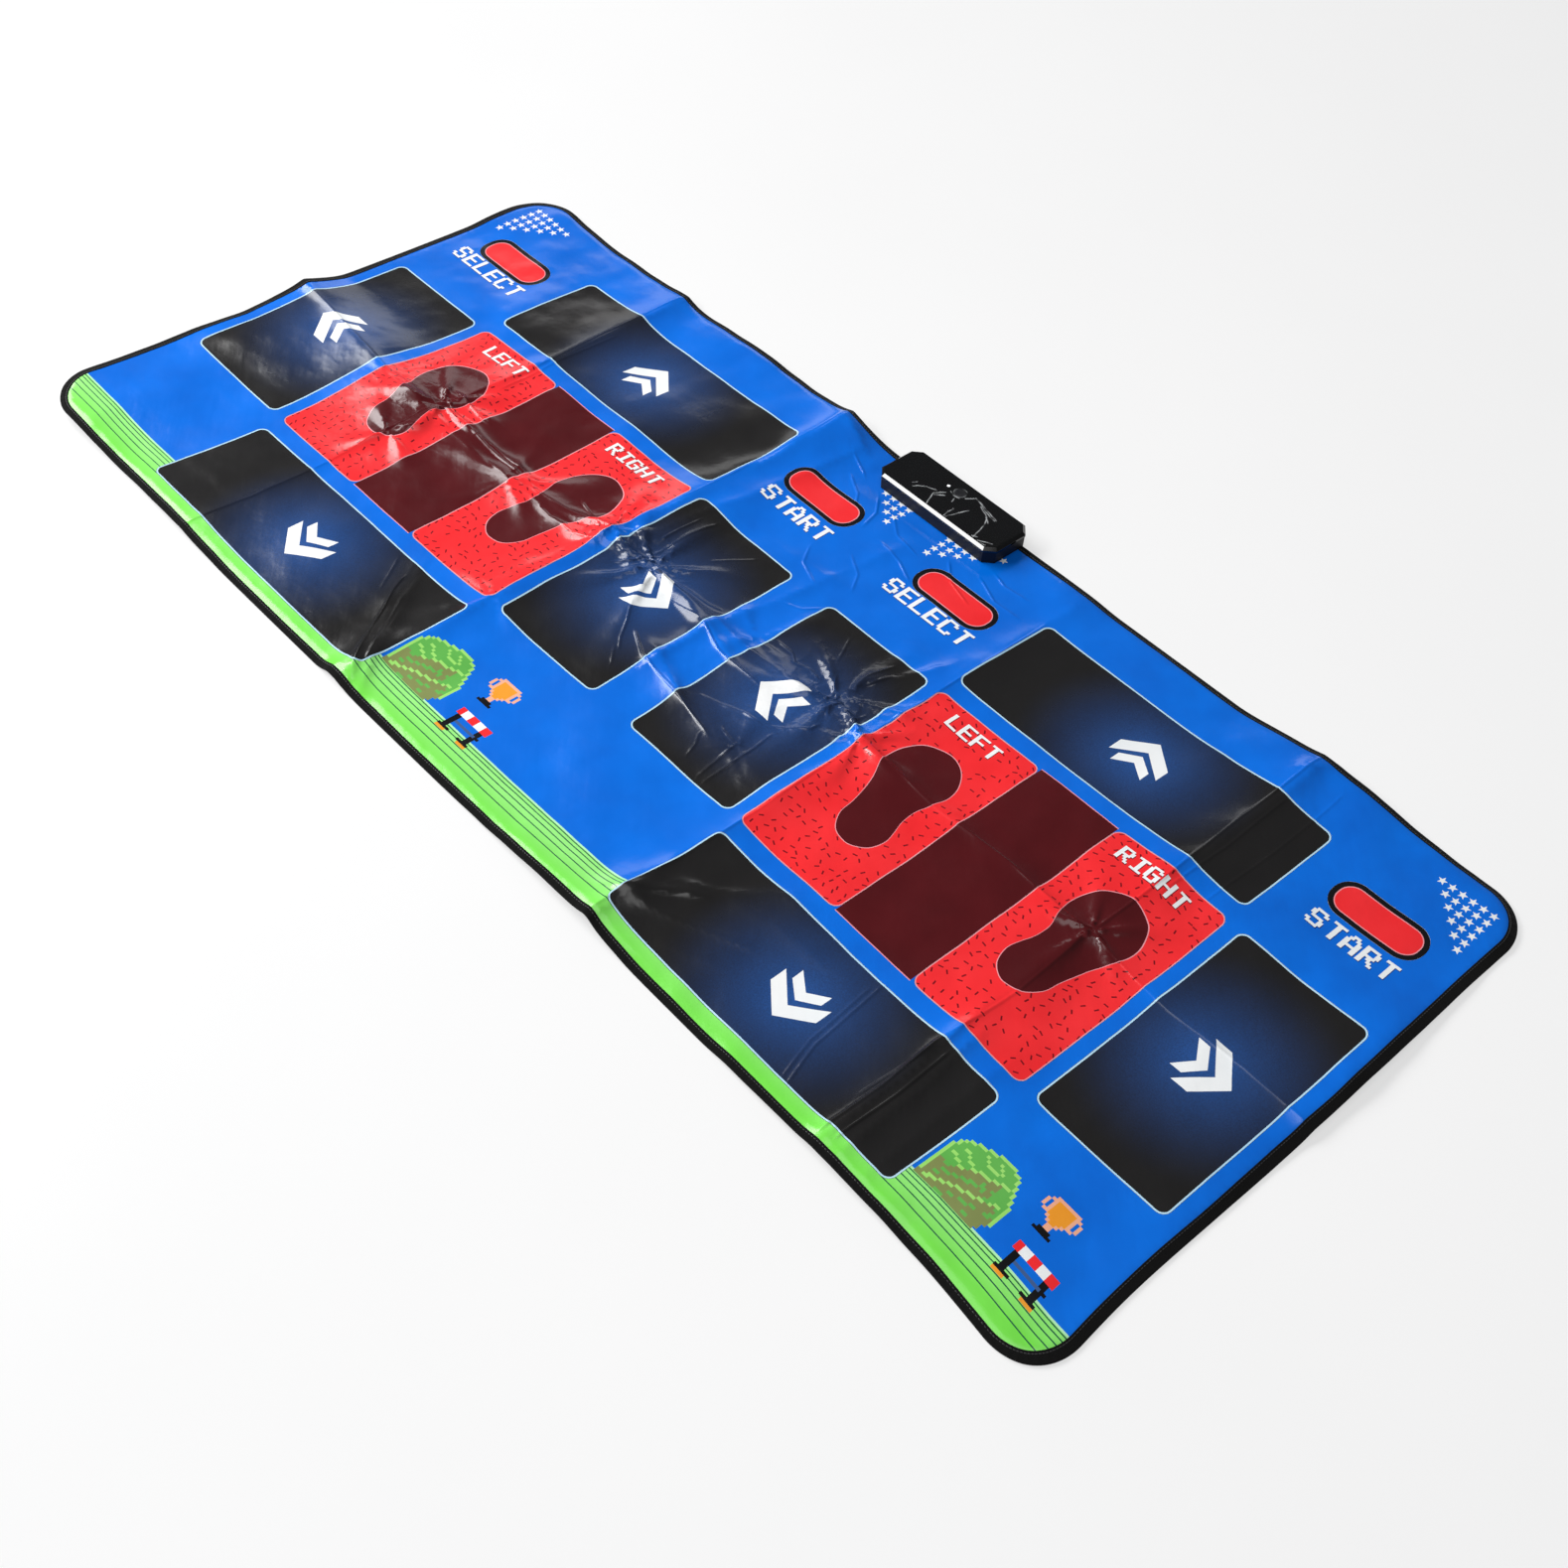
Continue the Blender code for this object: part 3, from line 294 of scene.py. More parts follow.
INKS = {
    "blue": vinyl_ink("pvc_printed_blue", "0067D6", "0072E6"),
    "white": vinyl_ink("pvc_printed_white", "F2F6F8", "FBFCFC"),
    "shadow": vinyl_ink("pvc_printed_shadow_blue", "0B2F7C", "0D3488"),
    "red_shadow": vinyl_ink("pvc_printed_shadow_red", "7E1620", "861A24"),
    "sky": vinyl_ink("pvc_printed_pale_cyan", "B8E2FA", "C6EAFC"),
    "pink": vinyl_ink("pvc_printed_pale_pink", "F59AA4", "F7A6AE"),
    "maroon": vinyl_ink("pvc_printed_maroon", "4C0A10", "560F15"),
    "green": track_green_ink(),
    "mint": vinyl_ink("pvc_printed_mint", "B4F0BE", "BEF4C8"),
    "lane": vinyl_ink("pvc_printed_lane_green", "0C4F3C", "0E5A46"),
    "leaf": vinyl_ink("pvc_printed_leaf_green", "9ADF6A", "A6E678"),
    "hedge": vinyl_ink("pvc_printed_hedge_green", "5FB24E", "6BBC58"),
    "olive": vinyl_ink("pvc_printed_olive", "7F8A50", "899458"),
    "black": vinyl_ink("pvc_printed_black", "0A0A0D", "101014"),
    "plain_red": vinyl_ink("pvc_printed_red", "F5292E", "FD3338"),
    "orange": vinyl_ink("pvc_printed_orange", "F29A28", "F6A436"),
    "peach": vinyl_ink("pvc_printed_peach", "F4AE8C", "F8BC9C"),
    "slate": vinyl_ink("pvc_printed_slate_blue", "3E5C8E", "466498"),
    "panel": glowing_black_ink(),
    "red": ticked_red_ink(),
}


WAVE_RADIAN = 0.05  # a wave texture's scale, times the length of one radian of its wave


def woven_tape():
    """Polyester binding tape, woven in cross ribs: dull charcoal that takes no reflection."""
    made, tree, shader, _ = start(
        "woven_polyester_tape", 0.9, Sheen_Weight=0.03, Sheen_Roughness=0.5, Specular_IOR_Level=0.15
    )
    along = add(tree, "UVMap", uv_map="along_tape").outputs[0]
    # Ribs are 0.6 mm apart on the real tape. To show, they are drawn 8.8 mm apart, 1.4 mm a radian
    ribs = add(tree, "TexWave", {"Vector": along, "Scale": WAVE_RADIAN / (1.4 * MM), "Distortion": 1.0})
    yarns = noise(tree, along, 2.2 * MM, 2.0, (1, 2.5, 1))
    tint(tree, shader, yarns, "030303", "141414")
    emboss(tree, shader, ((ribs.outputs["Fac"], 0.16 * MM), (yarns, 0.3 * MM)))
    return made


def spun_thread():
    """Spun polyester sewing thread: black with a faint sheen along each stitch."""
    made, tree, shader, place = start("spun_polyester_thread", 0.55, Sheen_Weight=0.4)
    mottle(tree, shader, place, "0C0C0E", "1D1D20", 1.5 * MM)
    return made


def dotted_backing():
    """Non-woven polyester with printed rubber dots: dull black cloth with a slight shine in rows."""
    made, tree, shader, place = start("nonwoven_cloth_with_rubber_dots", 0.9)
    grid = add(tree, "Mapping", {"Vector": place, "Scale": (1 / (7 * MM), 1 / (7 * MM), 0)})
    spots = {"Vector": grid.outputs[0], "Scale": 1.0, "Randomness": 0.0}
    away = add(tree, "TexVoronoi", spots, voronoi_dimensions="2D").outputs["Distance"]
    rim = {"Value": away, "From Min": 0.16, "From Max": 0.24, "To Min": 1.0, "To Max": 0.0}
    dot = add(tree, "MapRange", rim).outputs[0]
    fibres = noise(tree, place, 1.8 * MM, 5.0, (1, 0.4, 1))
    cloth = tint(tree, shader, fibres, "141416", "34343A")
    tint(tree, shader, dot, cloth, "0A0A0B")
    shine = {"Value": dot, "To Min": 0.92, "To Max": 0.45}
    tree.links.new(add(tree, "MapRange", shine).outputs[0], shader.inputs["Roughness"])
    emboss(tree, shader, ((fibres, 0.15 * MM), (dot, 0.3 * MM)))
    return made


def foam_rubber():
    """Closed-cell polyethylene foam: matt off-white with a skin of tiny cells."""
    made, tree, shader, place = start("closed_cell_polyethylene_foam", 0.8)
    mottle(tree, shader, place, "DADAD4", "E8E8E2", 12 * MM)
    bubbles = {"Vector": place, "Scale": 1 / (1.4 * MM)}
    cells = add(tree, "TexVoronoi", bubbles).outputs["Distance"]
    emboss(tree, shader, ((cells, 0.15 * MM),))
    return made


def contact_film():
    """Polyester film with printed silver contacts: smooth, pale grey, with darker carbon lines."""
    made, tree, shader, place = start("polyester_film_with_silver_print", 0.35, ior=1.6)
    # Lines 57 mm apart
    lines = {"Vector": place, "Scale": WAVE_RADIAN / (9 * MM)}
    tracks = add(tree, "TexWave", lines, bands_direction="Y").outputs["Fac"]
    edge = {"Value": tracks, "From Min": 0.78, "From Max": 0.84}
    printed = add(tree, "MapRange", edge).outputs[0]
    tint(tree, shader, printed, "C3C8C4", "7C8287")
    emboss(tree, shader, ((noise(tree, place, 15 * MM), 0.1 * MM),))
    return made


def polished_abs():
    """ABS moulded in a polished tool: deep black with clear reflections and fine handling haze."""
    made, tree, shader, place = start("polished_abs", 0.06, ior=1.54)
    mottle(tree, shader, place, "040506", "08090B", 40 * MM)
    roughen(tree, shader, place, 0.04, 0.1, 25 * MM)
    emboss(tree, shader, ((noise(tree, place, 30 * MM), 0.06 * MM),))
    return made


def sparked_abs(name="spark_eroded_abs", first="101012", second="17171A", roughness=0.5):
    """ABS, or the plastic named, from a spark-eroded tool: a fine grain that breaks up the shine."""
    made, tree, shader, place = start(name, roughness, ior=1.54, Specular_IOR_Level=0.25)
    mottle(tree, shader, place, first, second, 15 * MM)
    emboss(tree, shader, ((noise(tree, place, 0.7 * MM, 3.0), 0.05 * MM),))
    return made


def cling_film():
    """Polyethylene film left on the lid: clear where it lies flat, milky white along its creases, which
    is painted highlight as well as the film's own whitening.
    """
    made, tree, shader, place = start("clear_polyethylene_film", 0.1)
    tree.nodes.remove(shader)
    waves = noise(tree, place, 5 * MM, 3.0)
    normal = add(tree, "Bump", {"Height": waves, "Distance": 0.03 * MM}).outputs[0]
    gloss = add(tree, "BsdfGlossy", {"Roughness": 0.12, "Normal": normal, "Color": (1, 1, 1, 1)})
    clear = add(tree, "BsdfTransparent", {"Color": (0.99, 0.99, 0.99, 1)})
    bounce = add(tree, "Fresnel", {"IOR": 1.22, "Normal": normal}).outputs[0]
    # Only the film's outer side reflects, so that its shine isn't doubled
    inner = add(tree, "NewGeometry").outputs["Backfacing"]
    outer = add(tree, "Math", {0: 1.0, 1: inner}, operation="SUBTRACT").outputs[0]
    share = add(tree, "Math", {0: bounce, 1: outer}, operation="MULTIPLY").outputs[0]
    glossy = add(tree, "MixShader", {0: share, 1: clear.outputs[0], 2: gloss.outputs[0]})
    # Painted highlight along the creases, with the film's own stress whitening: a milky white that the
    # crease mask mixes in
    highlight_white = add(tree, "BsdfDiffuse", {"Color": linear("D8DCDE")})
    whitened_and_highlit = add(tree, "Attribute", attribute_name="whitening_and_highlight").outputs["Fac"]
    mixed = add(tree, "MixShader", {0: whitened_and_highlit, 1: glossy.outputs[0], 2: highlight_white.outputs[0]})
    tree.links.new(mixed.outputs[0], tree.nodes["Material Output"].inputs["Surface"])
    return made


def frosted_acrylic_painted_glow():
    """Frosted acrylic light pipe: milky white, with a weak painted glow so that its white shows under the
    film.
    """
    made, tree, shader, place = start("frosted_acrylic_painted_glow", 0.35, ior=1.49)
    mottle(tree, shader, place, "F4F6F8", "FFFFFF", 2 * MM)
    # Painted glow: a weak emission that brightens the pipe's white dot
    shader.inputs["Emission Color"].default_value = linear("F4F8FF")
    shader.inputs["Emission Strength"].default_value = 0.55
    return made


def drawn_steel(name, first, second, roughness, grain=(1, 6, 1)):
    """Zinc plated steel: grey metal with fine drawn lines and a slightly cloudy plate."""
    made, tree, shader, place = start(name, roughness, metallic=1.0)
    mottle(tree, shader, place, first, second, 3 * MM, 4.0, grain)
    emboss(tree, shader, ((noise(tree, place, 0.8 * MM, 3.0, grain), 0.03 * MM),))
    return made


def solder_mask():
    """Glass-epoxy board under green solder mask, with copper tracks that show through it."""
    made, tree, shader, place = start("solder_masked_glass_epoxy", 0.35, ior=1.55)
    bricks = {"Vector": place, "Scale": 1 / (9 * MM), "Mortar Size": 0.035, "Bias": -0.4}
    bricks.update({"Color1": linear("0E4A22"), "Color2": linear("11552A"), "Mortar": linear("1F7A3C")})
    tracks = add(tree, "TexBrick", bricks)
    tree.links.new(tracks.outputs["Color"], shader.inputs["Base Color"])
    emboss(tree, shader, ((tracks.outputs["Fac"], 0.04 * MM),))
    return made


def cell_sleeve():
    """Shrink sleeve on a steel can: printed dark grey with a copper band, bare steel at the ends."""
    made, tree, shader, place = start("pvc_shrink_sleeve", 0.3, ior=1.53)
    low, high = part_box("cell_1")
    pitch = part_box("cell_2")[0].x - low.x
    along = add(tree, "SeparateXYZ", {0: place}).outputs[0]
    shifted = add(tree, "Math", {0: along, 1: low.x - pitch}, operation="SUBTRACT").outputs[0]
    wrapped = add(tree, "Math", {0: shifted, 1: pitch}, operation="MODULO").outputs[0]
    share = add(tree, "Math", {0: wrapped, 1: high.x - low.x}, operation="DIVIDE").outputs[0]
    band = add(tree, "Math", {0: share, 1: 0.78}, operation="GREATER_THAN").outputs[0]
    tint(tree, shader, band, "26282C", "B4703A")
    bare = add(tree, "Math", {0: share, 1: 0.962}, operation="GREATER_THAN").outputs[0]
    tree.links.new(bare, shader.inputs["Metallic"])
    emboss(tree, shader, ((noise(tree, place, 4 * MM), 0.05 * MM),))
    return made


# How the mat lies, in millimetres from its middle: folds run from one point to another, with their
# height at each, and how far they spread to the left and right of that direction
FOLDS = (
    ((-512, 375), (-518, -375), 11, 4, 22, 60),
    ((-198, 375), (-214, -375), 12, 8, 34, 26),
    ((206, 330), (212, -375), 4, 9, 24, 34),
    ((540, 375), (538, -375), 13, 8, 90, 76),
    ((548, 330), (543, 120), 3, 3, 9, 26),
    ((540, -185), (546, -335), 4, 4, 7, 9),
    ((558, -190), (566, -335), 3, 4, 8, 14),
    ((594, -190), (598, -335), 2, 2, 12, 14),
    ((543, 345), (528, 320), 3, 0, 9, 10),
    ((-825, -4), (-560, -34), 19, 9, 42, 46),
    ((-560, -34), (-360, -29), 7, 5, 22, 30),
    ((-461, -11), (-361, -9), 2, 3, 6, 8),
    ((-360, -29), (-205, 2), 5, 5, 19, 24),
    ((-304, -30), (-238, -32), 2, 3, 5, 9),
    ((-538, 6), (-481, 14), 3, 3, 7, 7),
    ((-205, 2), (825, 2), 5, 3, 13, 12),
    ((-150, 320), (-176, 60), 4, 3, 12, 16),
    ((-43, -10), (24, -24), 4, 4, 9, 15),
    ((-26, -30), (-24, -88), 3, 4, 10, 14),
    ((-24, -88), (32, -108), 4, 5, 10, 14),
    ((32, -108), (96, -120), 3, 2, 8, 14),
    ((86, -104), (144, -126), 2, 2, 9, 12),
    ((-170, 351), (-100, 332), 6, 4, 8, 15),
    ((154, 83), (176, 138), 4, 3, 7, 12),
    ((-56, 149), (20, 160), 3, 3, 14, 18),
    ((8, 250), (-26, -27), 3, 4, 16, 14),
    ((-308, -210), (-212, -350), 4, 6, 9, 26),
    ((-296, -206), (-200, -340), 3, 4, 8, 9),
    ((214, -318), (251, -281), 4, 4, 12, 5),
    ((232, -318), (315, -284), 3, 3, 16, 9),
    ((255, -262), (318, -206), 3, 3, 12, 18),
    ((314, -242), (401, -227), 3, 3, 10, 22),
    ((300, -330), (368, -300), 2, 2, 18, 18),
    ((-226, -330), (-228, -375), 3, 6, 13, 18),
    ((217, -335), (219, -375), 3, 5, 13, 18),
)
CREST = 2.6  # how round a fold's crest is
FOLD_FADE = 30  # past each end
FOLD_WANDER = 5  # how far folds and puckers stray from their places
FOLD_WANDER_SIZE = 60
# Puckers where folds cross: middle, reach, height, number of spokes and their turn
PUCKERS = (
    ((-515, -10), 30, 4.0, 5, 0.4),
    ((-512, -92), 24, 3.0, 4, 1.2),
    ((-205, 4), 30, 3.6, 5, 2.0),
    ((-142, 6), 46, 4.4, 7, 0.9),
    ((131, -110), 30, 1.6, 3, 0.5),
    ((150, 30), 48, 4.6, 6, 2.6),
    ((208, -2), 28, 3.0, 5, 0.2),
    ((540, 6), 24, 3.0, 5, 1.7),
    ((-208, -170), 40, 1.6, 4, 0.6),
    ((20, 30), 60, 2.6, 4, 1.1),
    ((-360, -30), 50, 1.8, 5, 2.2),
)
# Places crumpled into sharp little creases: middle, reach, height, size and seed
CRUMPLES = (
    ((150, 30), 56, 1.2, 40, 51),
    ((120, -95), 40, 0.4, 46, 52),
    ((-146, 4), 40, 1.1, 36, 53),
    ((-215, 0), 30, 0.8, 34, 54),
    ((-510, -40), 34, 0.7, 38, 55),
    ((-590, -20), 46, 0.5, 50, 56),
    ((545, -20), 34, 0.4, 44, 60),
)
CRUMPLED = 1.3  # the height at which the vinyl counts as fully crumpled
CRUMPLED_REACH = 1.3  # how far that is seen, as a share of a place's own reach
CRUMPLED_LEAST = 0.05  # and everywhere
# Sharp creases in what shows: the points of each, and its height
CREASES = (
    (((-461, -13), (-422, -15), (-387, -15), (-352, -16)), 1.3),
    (((-452, -11), (-415, -8), (-382, -8), (-356, -8)), 1.0),
    (((-402, -32), (-360, -33)), 1.0),
    (((-529, 0), (-504, -7), (-466, -12)), 1.2),
    (((-532, 17), (-475, 12), (-455, 14)), 1.4),
    (((-356, -16), (-311, -17), (-272, -11), (-228, 2)), 0.8),
    (((-302, -33), (-277, -36), (-258, -33), (-238, -33), (-205, -23)), 1.3),
    (((-281, 14), (-250, 5), (-203, -8)), 1.0),
    (((538, -362), (540, -283), (536, -200)), 1.5),
    (((554, -358), (555, -278), (552, -202)), 1.3),
    (((532, -310), (538, -240), (538, -210)), 0.8),
    (((481, -350), (464, -297), (459, -248), (454, -198)), 0.8),
    (((473, -350), (457, -297), (452, -248), (448, -208)), 0.6),
    (((-211, -354), (-235, -322), (-254, -296), (-271, -270), (-288, -247), (-303, -219)), 1.8),
    (((-203, -346), (-225, -315), (-243, -287), (-258, -266), (-276, -240)), 0.8),
    (((-300, -257), (-316, -232), (-334, -205)), 0.6),
    (((-110, -50), (-88, -77), (-74, -98), (-58, -114)), 0.9),
    (((-76, -76), (-35, -99), (-12, -103), (25, -108), (62, -114), (100, -121)), 1.6),
    (((-41, -12), (-13, -20), (11, -29), (28, -30), (45, -30), (80, -29)), 1.6),
    (((-110, 8), (-84, 14), (-56, 17), (-35, 23)), 0.8),
    (((-84, -14), (-38, -12)), 0.6),
    (((-174, -30), (-159, -8), (-151, 16), (-130, 27)), 1.2),
    (((-71, -108), (-46, -136)), 0.8),
    (((-166, 34), (-166, 70), (-163, 104)), 0.9),
    (((-155, 17), (-152, 65), (-148, 113)), 1.0),
    (((-112, 62), (-96, 86), (-75, 113)), 0.6),
    (((88, -124), (99, -140), (105, -160)), 0.8),
    (((94, -102), (114, -106), (132, -107)), 0.9),
    (((133, -170), (130, -135), (127, -100)), 1.0),
    (((143, -171), (144, -132), (144, -95), (141, -63)), 1.1),
    (((32, 39), (62, 38), (75, 29), (95, 35), (119, 31)), 0.9),
    (((82, 109), (95, 84), (103, 67)), 0.9),
    (((141, 60), (143, 87), (149, 115)), 1.2),
    (((149, 62), (160, 104)), 1.2),
    (((138, 8), (138, 27), (116, 56)), 1.0),
    (((129, -63), (149, -46), (164, -31), (163, -12)), 1.0),
    (((44, -88), (73, -79), (99, -69), (127, -67)), 0.8),
    (((142, 23), (165, -9)), 0.8),
    (((181, 2), (183, 40)), 0.8),
    (((-514, 372), (-517, 240), (-512, 110), (-515, 10)), 0.7),
    (((-516, -20), (-519, -160), (-514, -280), (-517, -370)), 0.7),
    (((-503, 250), (-506, 150), (-502, 60)), 0.5),
    (((-200, 372), (-206, 250), (-204, 120), (-207, 12)), 0.7),
    (((-207, -10), (-212, -130), (-211, -215)), 0.6),
    (((206, 300), (209, 170), (206, 20)), 0.7),
    (((210, -12), (213, -150), (210, -290), (213, -372)), 0.7),
    (((541, 370), (539, 240), (543, 110), (540, 10)), 0.8),
    (((553, 300), (555, 190), (552, 90)), 0.5),
    (((540, -10), (544, -100), (539, -190)), 0.6),
    (((588, 350), (590, 230), (586, 120)), 0.4),
    (((215, 3), (330, -2), (430, 4), (535, 1)), 0.7),
    (((550, 2), (650, -3), (740, 3), (822, -1)), 0.6),
    (((-800, -8), (-700, -18), (-610, -26), (-540, -22)), 0.9),
    (((-150, 330), (-118, 318), (-84, 296)), 1.0),
    (((-128, 305), (-92, 284), (-74, 262)), 0.9),
    (((-78, 306), (-52, 276), (-44, 244)), 0.9),
    (((-40, 292), (-8, 268), (34, 262)), 0.7),
    (((-16, 246), (28, 238), (62, 222)), 0.8),
    (((58, 288), (88, 262), (128, 250)), 0.9),
    (((94, 318), (132, 306), (168, 310)), 1.0),
    (((100, 296), (142, 278), (182, 280)), 0.9),
    (((-20, 204), (12, 186), (30, 158)), 0.7),
    (((-60, 178), (-42, 150), (-4, 134)), 0.7),
    (((30, 118), (16, 96), (-8, 84)), 0.7),
)
CREASE_REACH = 1.8  # to each side
CREASE_FADE = 12  # from each end
CREASE_STEP = 4  # along the crease, from one point of the mesh to the next
CREASE_ROWS = (-3.6, -1.2, 0, 1.2, 3.6)  # beside the crease, where the mesh has points
CREASE_CLEAR = 0.8  # from these points to those of a cut or printed outline
# Small wrinkles in what shows: size, height and seed
WRINKLES = ((48, 1.5, 71), (27, 0.8, 72), (16, 0.3, 73))
WRINKLE_PATCHES = (170, 70)  # where they are higher or lower: size and seed
WRINKLE_SHARES = (0.6, 0.7, 0.2)  # of their height: the mean, its swing and the least
WRINKLE_EDGE = 20  # they die out in this band along the edge
# Lifted places: middle, reach along X and Y, height
LIFTS = (
    ((-825, -330), 110, 120, 15),
    ((-480, 375), 130, 70, 5),
    ((-300, 375), 180, 60, 7),
    ((-590, -375), 120, 60, 6),
    ((120, -375), 170, 60, 5),
    ((660, 375), 170, 70, 8),
    ((825, 200), 80, 130, 6),
    ((-330, 120), 120, 110, 3),
    ((330, -60), 150, 120, 3),
)
# Places pushed or drawn aside: middle, reach along X and Y, and the way along X and Y
SHIFTS = (
    ((-825, -160), 200, 260, -12, 0),
    ((-617, -349), 90, 90, -9, 3),
    ((-825, 375), 90, 90, 0, 9),
    ((110, -220), 300, 180, 4, 5),
    ((760, -60), 230, 330, 4, -7),
    ((825, -375), 90, 90, 11, -14),
    ((825, 300), 110, 150, -6, 6),
)
# Lumps over the whole mat: size, height and seed
LUMPS = ((230, 5.5, 3), (120, 3.0, 8), (62, 1.1, 5), (34, 0.35, 6))
EDGE_BAND = 90  # in this band along the edge the lumps are higher
EDGE_LIFT = 0.6  # by this share, at the edge itself
SETTLE = 2  # how softly a dip ends on the floor
SUNK = 0.6  # what the mat's weight takes off every height
FLAT_MARGIN = 6  # flat round the box, then rising over FLAT_RAMP
FLAT_RAMP = 85
CRISP_RAMP = 22  # the same for sharp creases and small wrinkles
PRESSED_BAND = 15  # the stack is sewn flatter in this band along the edge
PRESSED_SHARE = 0.5  # of its thickness, at the edge itself


NOISE_SIDE = 64  # lumps to a side before the noise repeats


def lumps(x, y, size, seed):
    """Smooth noise from about -1 to 1, in lumps of about this size."""
    turns = np.random.default_rng(seed).random((NOISE_SIDE, NOISE_SIDE)) * 2 * math.pi
    u, v = x / size + NOISE_SIDE / 2, y / size + NOISE_SIDE / 2
    column, row = np.floor(u).astype(int), np.floor(v).astype(int)
    f, g = u - column, v - row

    def corner(a, b):
        turn = turns[(column + a) % NOISE_SIDE, (row + b) % NOISE_SIDE]
        return np.cos(turn) * (f - a) + np.sin(turn) * (g - b)

    s, t = f**3 * (f * (f * 6 - 15) + 10), g**3 * (g * (g * 6 - 15) + 10)
    low = corner(0, 0) * (1 - s) + corner(1, 0) * s
    high = corner(0, 1) * (1 - s) + corner(1, 1) * s
    return (low * (1 - t) + high * t) * 1.5


def fade(away, reach):
    """1 where away is 0, about a third at this reach, and nearly 0 at twice as far."""
    return np.exp(-((away / reach) ** 2))


def mound(x, y, middle, reach_x, reach_y):
    """The same round a middle, with its own reach along X and Y."""
    return np.exp(-(((x - middle[0]) / reach_x) ** 2) - ((y - middle[1]) / reach_y) ** 2)


def fold(x, y, head, foot, first, last, left, right):
    """A fold line that fades out past its two ends."""
    way = np.subtract(foot, head)
    length = math.hypot(*way)
    way = way / length
    along = (x - head[0]) * way[0] + (y - head[1]) * way[1]
    aside = (y - head[1]) * way[0] - (x - head[0]) * way[1]
    share = np.clip(along / length, 0, 1)
    past = np.abs(along - share * length)
    spread = np.where(aside > 0, left, right)
    crest = np.exp((CREST - np.sqrt(aside**2 + CREST**2)) / spread)
    return (first + (last - first) * share) * crest * fade(past, FOLD_FADE)


def pucker(x, y, middle, reach, height, spokes, turn):
    """Short wrinkles that run out from a point like a star."""
    dx, dy = x - middle[0], y - middle[1]
    away = np.hypot(dx, dy)
    angle = np.arctan2(dy, dx)
    star = (0.5 + 0.5 * np.cos(spokes * angle + turn)) ** 4
    return height * star * (away / reach) * np.exp(1 - away / reach)


def crumple(x, y, middle, reach, height, size, seed):
    """Sharp creases between flat little faces, as in pressed paper, fading out from a middle."""
    away = np.hypot(x - middle[0], y - middle[1])
    ridges = 1 - np.abs(lumps(x, y, size, seed))
    return height * ridges**4 * fade(away, reach)


def off_path(x, y, path):
    """How far points lie from a bent line."""
    best = np.full(len(x), np.inf)
    for (ax, ay), (bx, by) in zip(path, path[1:]):
        way = np.array([bx - ax, by - ay])
        share = np.clip(((x - ax) * way[0] + (y - ay) * way[1]) / (way @ way), 0, 1)
        best = np.minimum(best, np.hypot(x - ax - share * way[0], y - ay - share * way[1]))
    return best


def crease(x, y, path, height):
    """A sharp crease along a bent line, which fades at its two ends."""
    (ax, ay), (bx, by) = path[0], path[-1]
    end = np.minimum(np.hypot(x - ax, y - ay), np.hypot(x - bx, y - by))
    return height * np.clip(end / CREASE_FADE, 0, 1) * fade(off_path(x, y, path), CREASE_REACH)


def crease_points():
    """Points of the flat mat that the mesh needs along each crease and beside it, in metres."""
    found = []
    for path, _ in CREASES:
        for head, foot in zip(path, path[1:]):
            way = Vector(foot) - Vector(head)
            parts = max(1, round(way.length / CREASE_STEP))
            across = Vector((-way.y, way.x)).normalized()
            for part in range(parts):
                middle = Vector(head) + way * (part / parts)
                found += [(middle + across * row) * MM for row in CREASE_ROWS]
    return found


def creased(x, y):
    """How crumpled the vinyl is, from 0 to 1, at points of the flat mat in metres."""
    total = CRUMPLED_LEAST
    for middle, reach, height, _, _ in CRUMPLES:
        away = np.hypot(x / MM - middle[0], y / MM - middle[1])
        total = total + height / CRUMPLED * fade(away, CRUMPLED_REACH * reach)
    return np.minimum(total, 1)


BOX_LOW, BOX_HIGH = (np.array(corner[:2]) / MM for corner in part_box("box_lid"))
HALF_LENGTH, HALF_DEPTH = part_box("edge_tape")[1].x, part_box("edge_tape")[1].y


def off_box(x, y, ramp=FLAT_RAMP):
    """0 under the box and just round it, and 1 further out, at points in millimetres."""
    beside = np.maximum(np.maximum(BOX_LOW[0] - x, x - BOX_HIGH[0]), 0)
    before = np.maximum(BOX_LOW[1] - y, 0)
    share = np.clip((np.hypot(beside, before) - FLAT_MARGIN) / ramp, 0, 1)
    return share * share * (3 - 2 * share)


def inside_edge(x, y):
    """How far points of the flat mat lie inside its edge."""
    beyond_x = np.abs(x) - (HALF_LENGTH - MAT_CORNER)
    beyond_y = np.abs(y) - (HALF_DEPTH - MAT_CORNER)
    corner = np.hypot(np.maximum(beyond_x, 0), np.maximum(beyond_y, 0))
    return MAT_CORNER - corner - np.minimum(np.maximum(beyond_x, beyond_y), 0)


